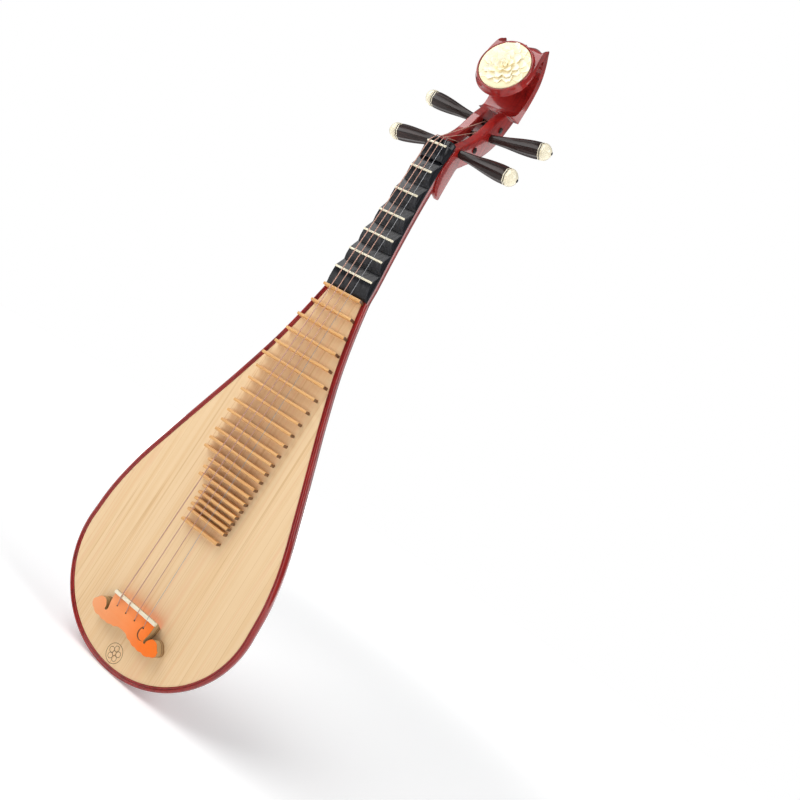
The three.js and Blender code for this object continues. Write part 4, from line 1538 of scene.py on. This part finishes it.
class PipaSizes(bpy.types.PropertyGroup):
    """Sizes that a maker would change."""

    fret_width: number("Fret Width", "Width of a bamboo fret in millimetres", 4.0)
    strip_width: number("Strip Width", "Width of a bone strip in millimetres", 2.8)
    flute_depth: number("Flute Depth", "Depth of the pegs' flutes as a share of their radius",
                        0.13, subtype="FACTOR", min=0, max=0.4)


class PipaLooks(bpy.types.PropertyGroup):
    """Colours of the finishes."""

    lacquer: colour_setting("Lacquer", "Deep red lacquer of the back and pegbox",
                            (0.34, 0.012, 0.010))
    board: colour_setting("Soundboard", "Bare paulownia", (0.83, 0.60, 0.35))
    bamboo: colour_setting("Frets", "Honey bamboo", (0.72, 0.39, 0.13))
    bridge: colour_setting("Bridge", "Orange bamboo", (0.95, 0.32, 0.11))
    ebony: colour_setting("Ebony", "Neck blocks and plate", (0.008, 0.008, 0.010))
    peg: colour_setting("Pegs", "Dark peg wood", (0.020, 0.012, 0.011))
    bone: colour_setting("Bone", "Strips and caps", (0.86, 0.80, 0.62))
    carving: colour_setting("Carving", "Flower inlay", (0.98, 0.94, 0.76))
    copper: colour_setting("Copper", "Wound strings", (0.62, 0.36, 0.28))
    gold: colour_setting("Gold", "Painted sprig", (0.90, 0.62, 0.16))
    floor: colour_setting("Floor", "Studio floor", (0.985, 0.985, 0.985))


class PipaStage(bpy.types.PropertyGroup):
    """Camera, lights and floor."""

    azimuth: number("Azimuth", "Camera's angle round the lute from its front",
                    math.radians(23.9), subtype="ANGLE")
    elevation: number("Elevation", "Camera's angle above the horizon",
                      math.radians(-4.7), subtype="ANGLE")
    roll: number("Roll", "Turn of the camera about its view, which leans the lute",
                 math.radians(32.2), subtype="ANGLE")
    distance: number("Distance", "From the point looked at to the camera",
                     1.044, subtype="DISTANCE")
    lens: number("Lens", "Focal length in millimetres", 34.6)
    aim: bpy.props.FloatVectorProperty(
        name="Aim", description="Point looked at, from the middle of the lute",
        subtype="TRANSLATION", default=(0.108, 0.049, -0.018))
    surround: number("Surround", "Strength of the room's even light", 0.20)
    key_power: number("Key Light", "Power of the key softbox", 54.0, subtype="POWER")
    fill_power: number("Fill Light", "Power of the fill softbox", 26.0, subtype="POWER")
    strip_power: number("Strip Light", "Power of the right-hand strip behind, twice the left's",
                        9.0, subtype="POWER")
    floor_radius: number("Floor Radius", "Reach of the floor round the lute",
                         4.0, subtype="DISTANCE")
    exposure: number("Exposure", "Exposure of the view in stops", 0.0)


class PIPA_PT_panel(bpy.types.Panel):
    """Lists the makers of each piece"""

    bl_idname = "PIPA_PT_panel"
    bl_label = "Pipa"
    bl_space_type = "VIEW_3D"
    bl_region_type = "UI"
    bl_category = "Pipa"

    def draw(self, context):
        for group in ("pipa_sizes", "pipa_looks", "pipa_stage"):
            settings = getattr(context.scene, group)
            for key in settings.__annotations__:
                self.layout.prop(settings, key)
        for maker in MAKERS:
            self.layout.operator(maker.bl_idname)


MAKERS = (
    PIPA_OT_back, PIPA_OT_board, PIPA_OT_frets, PIPA_OT_blocks, PIPA_OT_bridge,
    PIPA_OT_strings, PIPA_OT_pegs, PIPA_OT_pegbox, PIPA_OT_head, PIPA_OT_flower,
    PIPA_OT_sprig, PIPA_OT_stage,
)
SETTINGS = {"pipa_sizes": PipaSizes, "pipa_looks": PipaLooks, "pipa_stage": PipaStage}


def register():
    for cls in (*SETTINGS.values(), *MAKERS, PIPA_PT_panel):
        bpy.utils.register_class(cls)
    for key, cls in SETTINGS.items():
        setattr(bpy.types.Scene, key, bpy.props.PointerProperty(type=cls))


def unregister():
    for key in SETTINGS:
        delattr(bpy.types.Scene, key)
    for cls in (PIPA_PT_panel, *reversed(MAKERS), *SETTINGS.values()):
        bpy.utils.unregister_class(cls)


def main():
    register()
    make_materials(bpy.context.scene.pipa_looks)
    for maker in MAKERS:
        family, name = maker.bl_idname.split(".")
        getattr(getattr(bpy.ops, family), name)()


if __name__ == "__main__":
    main()
